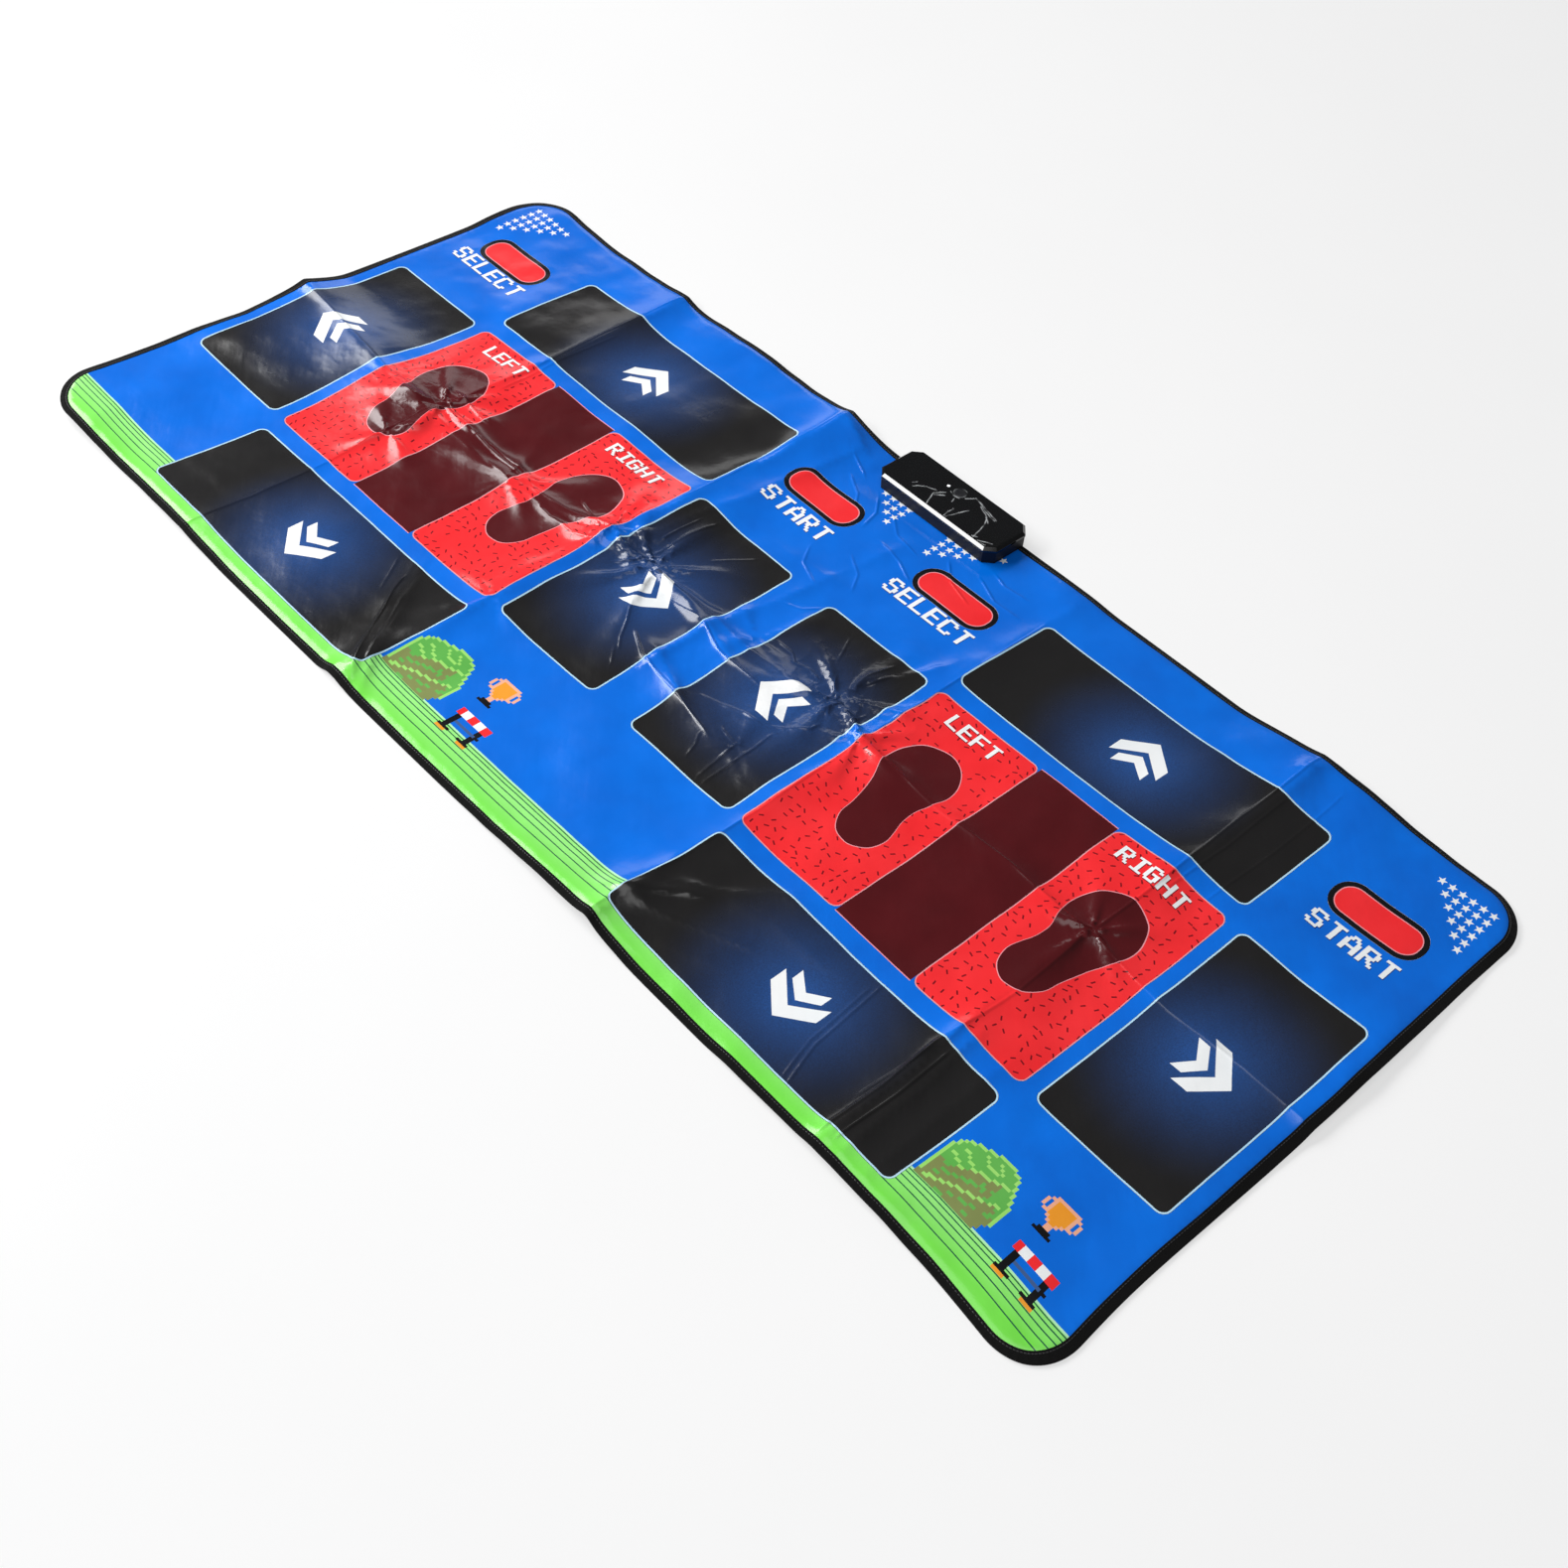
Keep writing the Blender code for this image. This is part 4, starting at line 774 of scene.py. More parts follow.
def rise(x, y, crisp):
    """Height in metres of the mat's underside over the floor, at points of the flat mat in metres.

    Only the printed vinyl, the tape and its stitches are crisp. They also take the puckers, the
    crumpled places, the sharp creases and the small wrinkles, which rise over the plies inside.
    """
    x, y = np.asarray(x) / MM, np.asarray(y) / MM
    wander = [
        along + FOLD_WANDER * lumps(x, y, FOLD_WANDER_SIZE, seed) for along, seed in ((x, 21), (y, 22))
    ]
    height = sum(fold(*wander, *each) for each in FOLDS)
    if crisp:
        height = height + sum(pucker(*wander, *each) for each in PUCKERS)
        height = height + sum(crumple(x, y, *each) for each in CRUMPLES)
    for *place, lift in LIFTS:
        height = height + lift * mound(x, y, *place)
    edge = np.minimum(HALF_LENGTH / MM - np.abs(x), HALF_DEPTH / MM - np.abs(y))
    near_edge = 1 + EDGE_LIFT * np.exp(-np.maximum(edge, 0) / EDGE_BAND)
    height = height + near_edge * sum(high * lumps(x, y, size, seed) for size, high, seed in LUMPS)
    height = np.maximum((height + np.sqrt(height**2 + SETTLE**2)) / 2 - SUNK, 0) * off_box(x, y)
    if crisp:
        mean, swing, least = WRINKLE_SHARES
        patch = np.clip(mean + swing * lumps(x, y, *WRINKLE_PATCHES), least, 1)
        small = sum(high * (1 + lumps(x, y, size, seed)) / 2 for size, high, seed in WRINKLES)
        small = small * patch * np.clip(edge / WRINKLE_EDGE, 0, 1)
        sharp = sum(crease(x, y, *each) for each in CREASES)
        height = height + (small + sharp) * off_box(x, y, CRISP_RAMP)
    return height * MM


def pressed(x, y):
    """The share of its thickness that the stack keeps, where the tape is sewn on and elsewhere."""
    share = np.clip(inside_edge(x, y) / (PRESSED_BAND * MM), 0, 1)
    loss = 1 - share * share * (3 - 2 * share)
    return 1 - (1 - PRESSED_SHARE) * loss * off_box(x / MM, y / MM)


def aside(x, y):
    """How far points of the flat mat are drawn aside, in metres."""
    along, across = np.zeros(len(x)), np.zeros(len(x))
    for *place, push_x, push_y in SHIFTS:
        share = mound(x / MM, y / MM, *place)
        along += push_x * share
        across += push_y * share
    still = off_box(x / MM, y / MM) * MM
    return np.column_stack([along * still, across * still])


def lay(flat, *levels, crisp=True):
    """Points (x, y) of the flat mat as they lie, at each of these levels in the stack."""
    flat = np.asarray(flat)
    x, y = flat.T
    places, heights, shares = flat + aside(x, y), rise(x, y, crisp), pressed(x, y)
    return [np.column_stack([places, heights + level * shares]) for level in levels]


def facing(flat, laid, level, crisp):
    """The upward normals at points of the flat mat that are laid at this level."""
    step = 0.5 * MM
    here = np.asarray(flat)
    along = lay(here + (step, 0), level, crisp=crisp)[0] - laid
    across = lay(here + (0, step), level, crisp=crisp)[0] - laid
    normals = np.cross(along, across)
    return normals / np.linalg.norm(normals, axis=1)[:, None]


def between(left, front, right, back):
    """A rectangle by its four sides, anticlockwise."""
    return [(left, front), (right, front), (right, back), (left, back)]


def rounded(centre, length, depth, radius, steps=8):
    """A rectangle with round corners, anticlockwise."""
    points = []
    for quarter, (side_x, side_y) in enumerate(((1, 1), (-1, 1), (-1, -1), (1, -1))):
        x = centre[0] + side_x * (length / 2 - radius)
        y = centre[1] + side_y * (depth / 2 - radius)
        for step in range(steps + 1):
            angle = math.pi / 2 * (quarter + step / steps)
            points.append((x + radius * math.cos(angle), y + radius * math.sin(angle)))
    return points


def disc(centre, radius, steps=24):
    angles = [2 * math.pi * step / steps for step in range(steps)]
    return [(centre[0] + radius * math.cos(a), centre[1] + radius * math.sin(a)) for a in angles]


def star(centre, radius):
    points = []
    for step in range(10):
        angle = math.pi / 2 + math.pi * step / 5
        reach = radius * (STAR_WAIST if step % 2 else 1)
        points.append((centre[0] + reach * math.cos(angle), centre[1] + reach * math.sin(angle)))
    return points


def chevron(centre, angle, tip, width, reach, arm):
    """An arrow head pointing along +X before it is turned about the centre by an angle."""
    back = reach - arm
    half = width / 2
    shape = [
        (tip, 0), (tip - back, half), (tip - reach, half), (tip - arm, 0),
        (tip - reach, -half), (tip - back, -half),
    ]
    c, s = math.cos(angle), math.sin(angle)
    return [(centre[0] + x * c - y * s, centre[1] + x * s + y * c) for x, y in shape]


def smooth_loop(points, steps=6):
    """A closed Catmull-Rom curve through the points."""
    found = []
    points = np.array(points)
    for i in range(len(points)):
        a, b, c, d = (points[(i + k - 1) % len(points)] for k in range(4))
        for step in range(steps):
            t = step / steps
            bend = (2 * a - 5 * b + 4 * c - d) * t**2 + (3 * b - a - 3 * c + d) * t**3
            found.append(tuple(0.5 * (2 * b + (c - a) * t + bend)))
    return found


LETTERS = {
    "A": ("..###..", ".##.##.", "##...##", "##...##", "#######", "##...##", "##...##"),
    "C": (".#####.", "##...##", "##.....", "##.....", "##.....", "##...##", ".#####."),
    "E": ("#######", "##.....", "##.....", "######.", "##.....", "##.....", "#######"),
    "F": ("#######", "##.....", "##.....", "######.", "##.....", "##.....", "##....."),
    "G": (".#####.", "##...##", "##.....", "##.####", "##...##", "##...##", ".#####."),
    "H": ("##...##", "##...##", "##...##", "#######", "##...##", "##...##", "##...##"),
    "I": (".######", "...##..", "...##..", "...##..", "...##..", "...##..", ".######"),
    "L": ("##.....", "##.....", "##.....", "##.....", "##.....", "##.....", "#######"),
    "R": ("######.", "##...##", "##...##", "######.", "##.##..", "##..##.", "##...##"),
    "S": (".#####.", "##...##", "##.....", ".#####.", ".....##", "##...##", ".#####."),
    "T": (".######", "...##..", "...##..", "...##..", "...##..", "...##..", "...##.."),
}
PICTURE_INKS = {
    "#": "white", "l": "leaf", "h": "hedge", "o": "olive", "k": "black", "r": "plain_red",
    "y": "orange", "p": "peach", "s": "slate", "w": "white",
}
# A clipped hedge, a hurdle and a cup, in squares
HEDGE = (
    "...........llllll.......",
    "........lllhhhhhhll.....",
    ".....lllhhhhhlhhhhhl....",
    "...llhhhhlhhhhlhhhhl....",
    "..lhhhhhhhlhhhhlhhhhl...",
    ".lhhhhhhhhhllllhhhhhl...",
    ".lhhllhhhhhhhhhhhlllhl..",
    "lhhhhhlhhhhhhhhllohhhl..",
    "lhhhhhhllhhllllooohhhhl.",
    "lhllhhhhhllooooooohhhhl.",
    "lhhhllhhhooooohoohhhhhhl",
    "lhhhhhlloooooohhoohhhhhl",
    "lhhhhhooooohhhohoohhllhl",
    "loohhoooohhhooooohhlohhl",
    "loooooohhooooooolloooohl",
    "looohhhoooooolllooooohhl",
    "looooooooolllooooooohhol",
    "loohhooolloooooohhoooool",
    "looooollooooohhhooooooo.",
    "loollloooohhoooooooooo..",
    "oolloooooooooooohhoooo..",
    "ooooooohhhooooooooooo...",
)
HURDLE = (
    "rrwwwrrrwwwrrr",
    "rrwwwrrrwwwrrr",
    "rrwwwrrrwwwrrr",
    ".kk........kk.",
    ".kk........kk.",
    ".kkssssssssskk",
    ".kk........kk.",
    ".kk........kk.",
    ".kk........kk.",
    "kkkkk....kkkkk",
    "yyyy......yyyy",
)
CUP = (
    "..pppppppp..",
    ".ppyyyyyypp.",
    "p.pyyyyyyp.p",
    "p.pyyyyyyp.p",
    "p.pyyyyyyp.p",
    ".ppyyyyyypp.",
    "...pyyyyp...",
    "....pyyp....",
    ".....pp.....",
    ".....pp.....",
    "....kkkk....",
    "...kkkkkk...",
)
# Each picture's place beside the down pad, and its squares up from the ground
PICTURES = ((HEDGE, 4 * MM, 0), (HURDLE, 112 * MM, -3), (CUP, 98 * MM, 13))


def squares(picture, corner, cell):
    """Each run of like squares in a picture as (outline, ink). corner is its front left one."""
    found = []
    for row, line in enumerate(reversed(picture)):
        column = 0
        while column < len(line):
            run = 1
            while column + run < len(line) and line[column + run] == line[column]:
                run += 1
            if line[column] != ".":
                left, front = corner[0] + column * cell[0], corner[1] + row * cell[1]
                outline = between(left, front, left + run * cell[0], front + cell[1])
                found.append((outline, PICTURE_INKS[line[column]]))
            column += run
    return found


def word(text, centre, cell, shadow):
    """A word in plain block letters with a dark edge beside them, as (outline, ink)."""
    pitch = 8 * cell[0]
    left = centre[0] - (len(text) * pitch - cell[0]) / 2
    front = centre[1] - 3.5 * cell[1]
    letters = []
    for number, letter in enumerate(text):
        letters += squares(LETTERS[letter], (left + number * pitch, front), cell)
    behind = []
    for outline, _ in letters:
        behind.append(([(x + SHADOW, y - SHADOW) for x, y in outline], shadow))
    return behind + letters


def stars(corner, side):
    """A corner's cluster of stars: a full row along the back edge, and each next one shorter."""
    found = []
    for row in range(STAR_ROW):
        for column in range(STAR_ROW - row):
            x = corner[0] + side * column * STAR_PITCH[0]
            found.append((star((x, corner[1] - row * STAR_PITCH[1]), STAR_RADIUS), "white"))
    return found


def plan(node):
    """(centre, length, depth) of a solid."""
    low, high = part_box(node)
    return (low + high) / 2, high.x - low.x, high.y - low.y


def is_oval(node):
    return node.endswith(("select_pad", "start_pad"))


def round_outline(node, corner, inset=0.0, steps=8):
    """The outline of a pad or plate with round corners, or one that runs this far inside it."""
    middle, length, depth = plan(node)
    return rounded(middle, length - 2 * inset, depth - 2 * inset, corner - inset, steps)


PADS = sorted(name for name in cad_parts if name.endswith("_pad"))
WINDOWS = [round_outline(pad, OVAL_CORNER if is_oval(pad) else PAD_CORNER, -SEAM) for pad in PADS]

SCREWS = [f"clamp_screw_{number}" for number in range(1, 5)]
SHAFT = 1.5 * MM  # radius of a screw under its head
HOLES = [disc(plan(screw)[0], SHAFT + HOLE_CLEAR, 12) for screw in SCREWS]
PLATE_WINDOW = round_outline("clamp_plate", PLATE_CORNER, -SEAM)
tail_low, tail_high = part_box("film_tail")
TAIL_WINDOW = between(
    tail_low.x - TAIL_CLEAR, tail_low.y - TAIL_CLEAR, tail_high.x + TAIL_CLEAR, tail_high.y + TAIL_CLEAR
)
TAIL_SLOT = between(
    tail_low.x - TAIL_CLEAR, tail_high.y - TAIL_SHEET - TAIL_CLEAR,
    tail_high.x + TAIL_CLEAR, tail_high.y + TAIL_CLEAR,
)


def mat_outline(inset, steps=10):
    return rounded(
        (0, 0), 2 * (HALF_LENGTH - inset), 2 * (HALF_DEPTH - inset), MAT_CORNER - inset, steps
    )


def lattice(step):
    """Evenly staggered points over the whole mat."""
    found = []
    rise_step = step * math.sqrt(3) / 2
    rows = int(HALF_DEPTH / rise_step)
    columns = int(HALF_LENGTH / step) + 1
    for row in range(-rows, rows + 1):
        start_x = step / 2 if row % 2 else 0
        found += [(start_x + column * step, row * rise_step) for column in range(-columns, columns)]
    return found


def divided(outline, step):
    """An outline with more points on its long edges, so that it can follow the folds."""
    found = []
    for a, b in zip(outline, [*outline[1:], outline[0]]):
        parts = max(1, math.ceil(math.dist(a, b) / step - 0.01))
        for part in range(parts):
            share = part / parts
            found.append((a[0] + (b[0] - a[0]) * share, a[1] + (b[1] - a[1]) * share))
    return found


def apart(points, others, gap):
    """The points that keep a gap to all the others."""
    tree = KDTree(len(others))
    for other in others:
        tree.insert((*other, 0), 0)
    tree.balance()
    return [point for point in points if tree.find((*point, 0))[2] > gap]


def cut_flat(points, sharp, rings, step):
    """Cuts a flat sheet. The first ring is its edge, and each later (outline, ink) is printed on it.

    An outline runs anticlockwise, and one whose ink is None is a hole. sharp holds the points that
    creases need. Returns the points, the triangles and each one's ink.
    """
    outlines = [divided(outline, step * RING_STEP) for outline, _ in rings]
    drawn = [point for outline in outlines for point in outline]
    sharp = apart(sharp, drawn, CREASE_CLEAR * MM)
    spots = [Vector(point) for point in [*apart(points, drawn + sharp, step * POINT_CLEAR), *sharp]]
    loops = []
    for outline in outlines:
        loops.append(list(range(len(spots), len(spots) + len(outline))))
        spots += [Vector(point) for point in outline]
    found, _, faces, _, _, origins = delaunay_2d_cdt(spots, [], loops, 1, 1e-6, True)
    inks = [ink for _, ink in rings]
    triangles, colours = [], []
    for face, inside in zip(faces, origins):
        if 0 in inside and all(inks[ring] is not None for ring in inside):
            triangles.append(face)
            colours.append(inks[max(inside)])
    used = sorted({point for face in triangles for point in face})
    index = {old: new for new, old in enumerate(used)}
    triangles = [tuple(index[point] for point in face) for face in triangles]
    return np.array([found[point] for point in used]), triangles, colours


def closed_faces(triangles, count):
    """The faces of a thin sheet: its upper triangles, the lower ones and the walls round them.

    count is the number of upper points. The lower ones follow them in the same order.
    """
    edges = dict.fromkeys(edge for a, b, c in triangles for edge in ((a, b), (b, c), (c, a)))
    walls = [(b, a, a + count, b + count) for a, b in edges if (b, a) not in edges]
    return [*triangles, *((c + count, b + count, a + count) for a, b, c in triangles), *walls]


def new_object(name, mesh, materials, body, smooth=False):
    """A piece made from a mesh, which rides on a body."""
    for each in materials:
        mesh.materials.append(each)
    if smooth:
        mesh.shade_smooth()
        mesh.set_sharp_from_angle(angle=math.radians(40))
    piece = bpy.data.objects.new(name, mesh)
    bpy.context.scene.collection.objects.link(piece)
    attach(piece, body)
    return piece


def lay_sheet(name, rings, low, high, step, materials, under, rim=None):
    """A sheet cut along rings and laid over the folds, from one level of the stack to another.

    materials maps each ink to its material, and under is the material of its lower side and
    edges. rim is (outline, level) where the lower side is raised outside an outline.
    """
    margin = step / 3
    area = [Vector(point) for point in rings[0][0]]
    low_x, high_x = min(p.x for p in area) + margin, max(p.x for p in area) - margin
    low_y, high_y = min(p.y for p in area) + margin, max(p.y for p in area) - margin
    crisp = step < COARSE
    points, sharp = (
        [p for p in each if low_x < p[0] < high_x and low_y < p[1] < high_y]
        for each in (lattice(step), crease_points() if crisp else ())
    )
    flat, triangles, colours = cut_flat(points, sharp, rings, step)
    lowest = low
    if rim:
        lowest = np.where(inside_edge(*flat.T) < rim[0], rim[1], low)
    top, bottom = lay(flat, high, lowest, crisp=crisp)
    faces = closed_faces(triangles, len(flat))
    names = sorted(materials)
    mesh = bpy.data.meshes.new(name)
    mesh.from_pydata(np.vstack([top, bottom]).tolist(), [], faces)
    slots = [names.index(colour) for colour in colours]
    slots += [len(names)] * (len(faces) - len(triangles))
    mesh.polygons.foreach_set("material_index", slots)
    upward = facing(flat, top, high, crisp)
    directions = np.empty((len(mesh.loops), 3))
    corners = np.array(triangles).ravel()
    directions[: len(corners)] = upward[corners]
    directions[len(corners) : 2 * len(corners)] = -upward[np.array(triangles)[:, ::-1].ravel()]
    flat_faces = np.empty(len(mesh.polygons) * 3)
    mesh.polygons.foreach_get("normal", flat_faces)
    flat_faces = flat_faces.reshape(-1, 3)[2 * len(triangles) :]
    directions[2 * len(corners) :] = np.repeat(flat_faces, 4, axis=0)
    mesh.shade_smooth()
    mesh.normals_split_custom_set(directions.tolist())
    worn = mesh.attributes.new("creased", "FLOAT", "POINT")
    worn.data.foreach_set("value", np.tile(creased(*flat.T), 2).astype(np.float32))
    return mesh, [*(materials[each] for each in names), under]


def make_sheet(name, node, rings, materials, under, step, body="mat", rim=None, thick=None):
    """Lays a sheet in place of a solid."""
    low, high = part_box(node)
    bottom = high.z - thick if thick else low.z
    mesh, slots = lay_sheet(name, rings, bottom, high.z, step, materials, under, rim)
    piece = new_object(name, mesh, slots, body)
    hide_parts(node)
    return piece


def half_prints(left):
    """What is printed on the sheet of the half that starts at this X."""
    front, back = -HALF_DEPTH, HALF_DEPTH
    right = left + HALF_LENGTH
    player = "p1" if left < 0 else "p2"
    prints = stars((left + STAR_INSET[0], back - STAR_INSET[1]), 1)
    prints += stars((right - STAR_INSET[0], back - STAR_INSET[1]), -1)
    select, _, oval_depth = plan(f"{player}_select_pad")
    start_pad = plan(f"{player}_start_pad")[0]
    below = oval_depth / 2 + WORD_DROP * BIG_CELL[1]
    prints += word("SELECT", (select.x - SELECT_SHIFT, select.y - below), BIG_CELL, "shadow")
    prints += word("START", (start_pad.x, start_pad.y - below - START_DROP), BIG_CELL, "shadow")
    foot_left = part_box(f"{player}_left_foot_pad")
    foot_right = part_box(f"{player}_right_foot_pad")
    ends = (foot_left[1].x + SEAM, foot_right[0].x - SEAM)
    sides = (foot_left[0].y - SEAM, foot_left[1].y + SEAM)
    for line, ink in ((0, "pink"), (FIELD_LINE, "maroon")):
        prints.append((between(ends[0], sides[0] + line, ends[1], sides[1] - line), ink))
    beside_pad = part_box(f"{player}_down_pad")[1].x
    ground = front + STRIP_TOP - STRIP_EDGE
    for picture, beside, up in PICTURES:
        prints += squares(picture, (beside_pad + beside, ground + up * PIXEL), (PIXEL, PIXEL))
    return prints


def make_plies():
    """The six plies, top to bottom. Returns the film's material, which the pads share."""
    edge = (mat_outline(PLY_INSET), "blue")
    windows = [(outline, None) for outline in WINDOWS]
    holes = [(outline, None) for outline in HOLES]
    slot = (TAIL_SLOT, None)
    front = -HALF_DEPTH
    wide = HALF_LENGTH
    strip = [(between(-wide, front, wide, front + STRIP_TOP), "mint")]
    strip.append((between(-wide, front, wide, front + STRIP_TOP - STRIP_EDGE), "green"))
    for lane in LANES:
        line = between(-wide, front + lane - LANE_LINE / 2, wide, front + lane + LANE_LINE / 2)
        strip.append((line, "lane"))
    prints = strip + half_prints(-HALF_LENGTH) + half_prints(0)
    used = {ink for _, ink in prints} | {"blue"}
    inks = {name: INKS[name] for name in used}
    rings = [edge, *prints, *windows, *holes, slot]
    make_sheet("top_vinyl", "printed_sheet", rings, inks, foam, FINE)

    film = contact_film()
    rings = [edge, *windows, *holes, slot]
    make_sheet(
        "upper_film_sheet", "upper_contact_film", rings, {"blue": film}, film, COARSE,
    )
    rings = [edge, *windows, *holes, (TAIL_WINDOW, None)]
    make_sheet(
        "spacer_sheet", "spacer_foam", rings, {"blue": foam}, foam, COARSE,
    )
    make_sheet(
        "lower_film_sheet", "lower_contact_film", [edge, *holes], {"blue": film}, film, COARSE,
    )
    plate = (PLATE_WINDOW, None)
    make_sheet(
        "base_foam_sheet", "base_foam", [edge, plate], {"blue": foam}, foam, COARSE,
    )
    cloth = dotted_backing()
    inner = (mat_outline(TAPE_WIDTH + SEAM), "blue")
    rings = [edge, inner, plate]
    make_sheet(
        "backing_cloth", "nonslip_backing", rings, {"blue": cloth}, cloth, COARSE,
        rim=(TAPE_WIDTH + SEAM - 0.01 * MM, BACKING_RIM_LOW),
    )
    return film


def footprint(centre, side):
    """The outline of a shoe sole, with its toes to the back. side is 1 for a left foot."""
    shape = (
        (-8, 92), (-34, 82), (-46, 62), (-49, 42), (-45, 22), (-36, 2), (-31, -15), (-26, -38),
        (-23, -59), (-11, -77), (6, -82), (18, -79), (30, -68), (35, -50), (32, -34), (27, -17),
        (26, 2), (31, 20), (35, 42), (30, 64), (14, 84),
    )
    points = [(centre[0] + side * x * MM, centre[1] + y * MM) for x, y in shape]
    return smooth_loop(points[::side])


def arrow_prints(middle, angle):
    """A large chevron with a small one inside it, pointing away from the player's feet."""
    return [(chevron(middle, angle, *(side * MM for side in each)), "white") for each in CHEVRONS]


def make_pad(node, film):
    """One press pad: vinyl with its print over the film that carries its contact."""
    middle, length, _ = plan(node)
    body = node.removesuffix("_pad")
    kind = body.split("_", 1)[1]
    if is_oval(node):
        bands = ((0, "black"), (OVAL_BORDER, "pink"), (OVAL_BORDER + OVAL_LINE, "plain_red"))
        rings = [(round_outline(node, OVAL_CORNER, inset, 12), ink) for inset, ink in bands]
    elif "foot" in kind:
        side = 1 if "left" in kind else -1
        outer = middle.x - side * length / 2
        rings = [(round_outline(node, PAD_CORNER), "pink")]
        rings.append((round_outline(node, PAD_CORNER, FIELD_LINE), "red"))
        foot = (outer + side * FOOT_IN, middle.y)
        sole = footprint(foot, side)
        edge = [[m + (p - m) * share for p, m, share in zip(point, foot, FOOT_EDGE)] for point in sole]
        rings += [(edge, "pink"), (sole, "maroon")]
        text, shift = FOOT_WORDS[side]
        rings += word(text, (middle.x - shift, middle.y + FOOT_WORD_BACK), SMALL_CELL, "red_shadow")
    else:
        angle = {"right": 0, "up": 0.5, "left": 1, "down": 1.5}[kind] * math.pi
        rings = [(round_outline(node, PAD_CORNER), "sky")]
        rings.append((round_outline(node, PAD_CORNER, OUTLINE), "panel"))
        rings += arrow_prints(middle, angle)
    inks = {ink: INKS[ink] for _, ink in rings}
    piece = make_sheet(
        node + "_vinyl", node, rings, inks, film, FINE, body, thick=PAD_THICKNESS
    )
    points = np.empty(len(piece.data.vertices) * 3)
    piece.data.vertices.foreach_get("co", points)
    away = np.hypot(*(points.reshape(-1, 3)[:, :2] - np.array(middle[:2])).T)
    distance = piece.data.attributes.new("from_centre", "FLOAT", "POINT")
    distance.data.foreach_set("value", away.astype(np.float32))


def along_outline(inset, step):
    """Points along the mat's edge, each with the way to the inside, and the distance run."""
    length, depth = HALF_LENGTH - MAT_CORNER, HALF_DEPTH - MAT_CORNER
    found = []
    for quarter, (x, y) in enumerate(((1, 1), (-1, 1), (-1, -1), (1, -1))):
        turns = round(MAT_CORNER * math.pi / 2 / step)
        for number in range(turns + 1):
            angle = math.pi / 2 * (quarter + number / turns)
            out = Vector((math.cos(angle), math.sin(angle)))
            found.append((Vector((x * length, y * depth)) + out * (MAT_CORNER - inset), -out))
        side = 2 * (length if quarter % 2 == 0 else depth)
        count = round(side / step)
        way = Vector((-y, 0)) if quarter % 2 == 0 else Vector((0, x))
        begin, inward = found[-1]
        found += [(begin + way * side * number / count, inward) for number in range(1, count)]
    return found


def tape_reach(point, inward):
    """How wide the tape shows on top at a point of the edge, as it is sewn on unevenly."""
    (left, right), (front, back) = TAPE_SHOWS
    end = left if inward.x > 0 else right
    side = front if inward.y > 0 else back
    spot = (np.array([point.x / MM]), np.array([point.y / MM]))
    wander = lumps(*spot, TAPE_WANDER_SIZE, 41)[0] * TAPE_WANDER
    return end * inward.x**2 + side * inward.y**2 + wander


def tape_section(shows):
    """The folded tape's section as (inset, level), where its upper arm is this wide."""
    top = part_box("edge_tape")[1].z
    thick, wide = TAPE_THICKNESS, TAPE_WIDTH
    outer = [
        (shows, top - 0.12 * MM), (shows - 1.2 * MM, top - 0.02 * MM), (shows / 2, top),
        (1.2 * MM, top - 0.03 * MM), (0.45 * MM, top - 0.25 * MM), (0.1 * MM, top - 0.75 * MM),
        (0, top - 1.5 * MM), (0, 1.5 * MM), (0.1 * MM, 0.75 * MM), (0.45 * MM, 0.25 * MM),
        (1.2 * MM, 0.03 * MM), (wide, 0),
    ]
    inner = [
        (wide, thick), (1.1 * MM, thick), (0.58 * MM, thick + 0.1 * MM), (thick, thick + 0.3 * MM),
        (thick, top - thick - 0.3 * MM), (0.58 * MM, top - thick - 0.1 * MM),
        (1.1 * MM, top - thick), (shows, top - thick - 0.12 * MM),
    ]
    return outer + inner


def make_tape():
    """The edge tape: woven tape folded round the plies, with two rounded outer corners."""
    path = along_outline(0, TAPE_STEP)
    shows = [tape_reach(*each) for each in path]
    points, marks = [], []
    run = 0
    for number, (point, inward) in enumerate(path):
        run += (point - path[number - 1][0]).length if number else 0
        section = tape_section(shows[number])
        flat = np.array([point + inward * inset for inset, _ in section])
        points += lay(flat, np.array([level for _, level in section]))[0].tolist()
        marks.append(run)
    count = len(section)
    faces = []
    for a in range(len(path)):
        b = (a + 1) % len(path)
        for i in range(count):
            j = (i + 1) % count
            faces.append((a * count + i, a * count + j, b * count + j, b * count + i))
    mesh = bpy.data.meshes.new("binding_tape")
    mesh.from_pydata(points, [], faces)
    across = np.cumsum([0] + [math.dist(p, q) for p, q in zip(section, section[1:] + section[:1])])
    layer = mesh.uv_layers.new(name="along_tape")
    spots = []
    total = run + (path[0][0] - path[-1][0]).length
    for a in range(len(path)):
        end = marks[a + 1] if a + 1 < len(path) else total
        for i in range(count):
            spots += [(marks[a], across[i]), (marks[a], across[i + 1])]
            spots += [(end, across[i + 1]), (end, across[i])]
    layer.data.foreach_set("uv", np.array(spots).ravel())
    piece = new_object("binding_tape", mesh, [woven_tape()], "mat", smooth=True)
    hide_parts("edge_tape")


STITCH_PITCH = 3.6 * MM
STITCH_INSET = 2.4 * MM  # from the tape's inner edge
STITCH_WIDE = 0.45 * MM  # to each side of its middle
STITCH_HIGH = 0.3 * MM
STITCH_SIDE = 0.1 * MM  # height of its sides, and how deep its ends go in
STITCH_SHOULDER = 0.2  # from its middle, as a share of the pitch
STITCH_END = 0.44


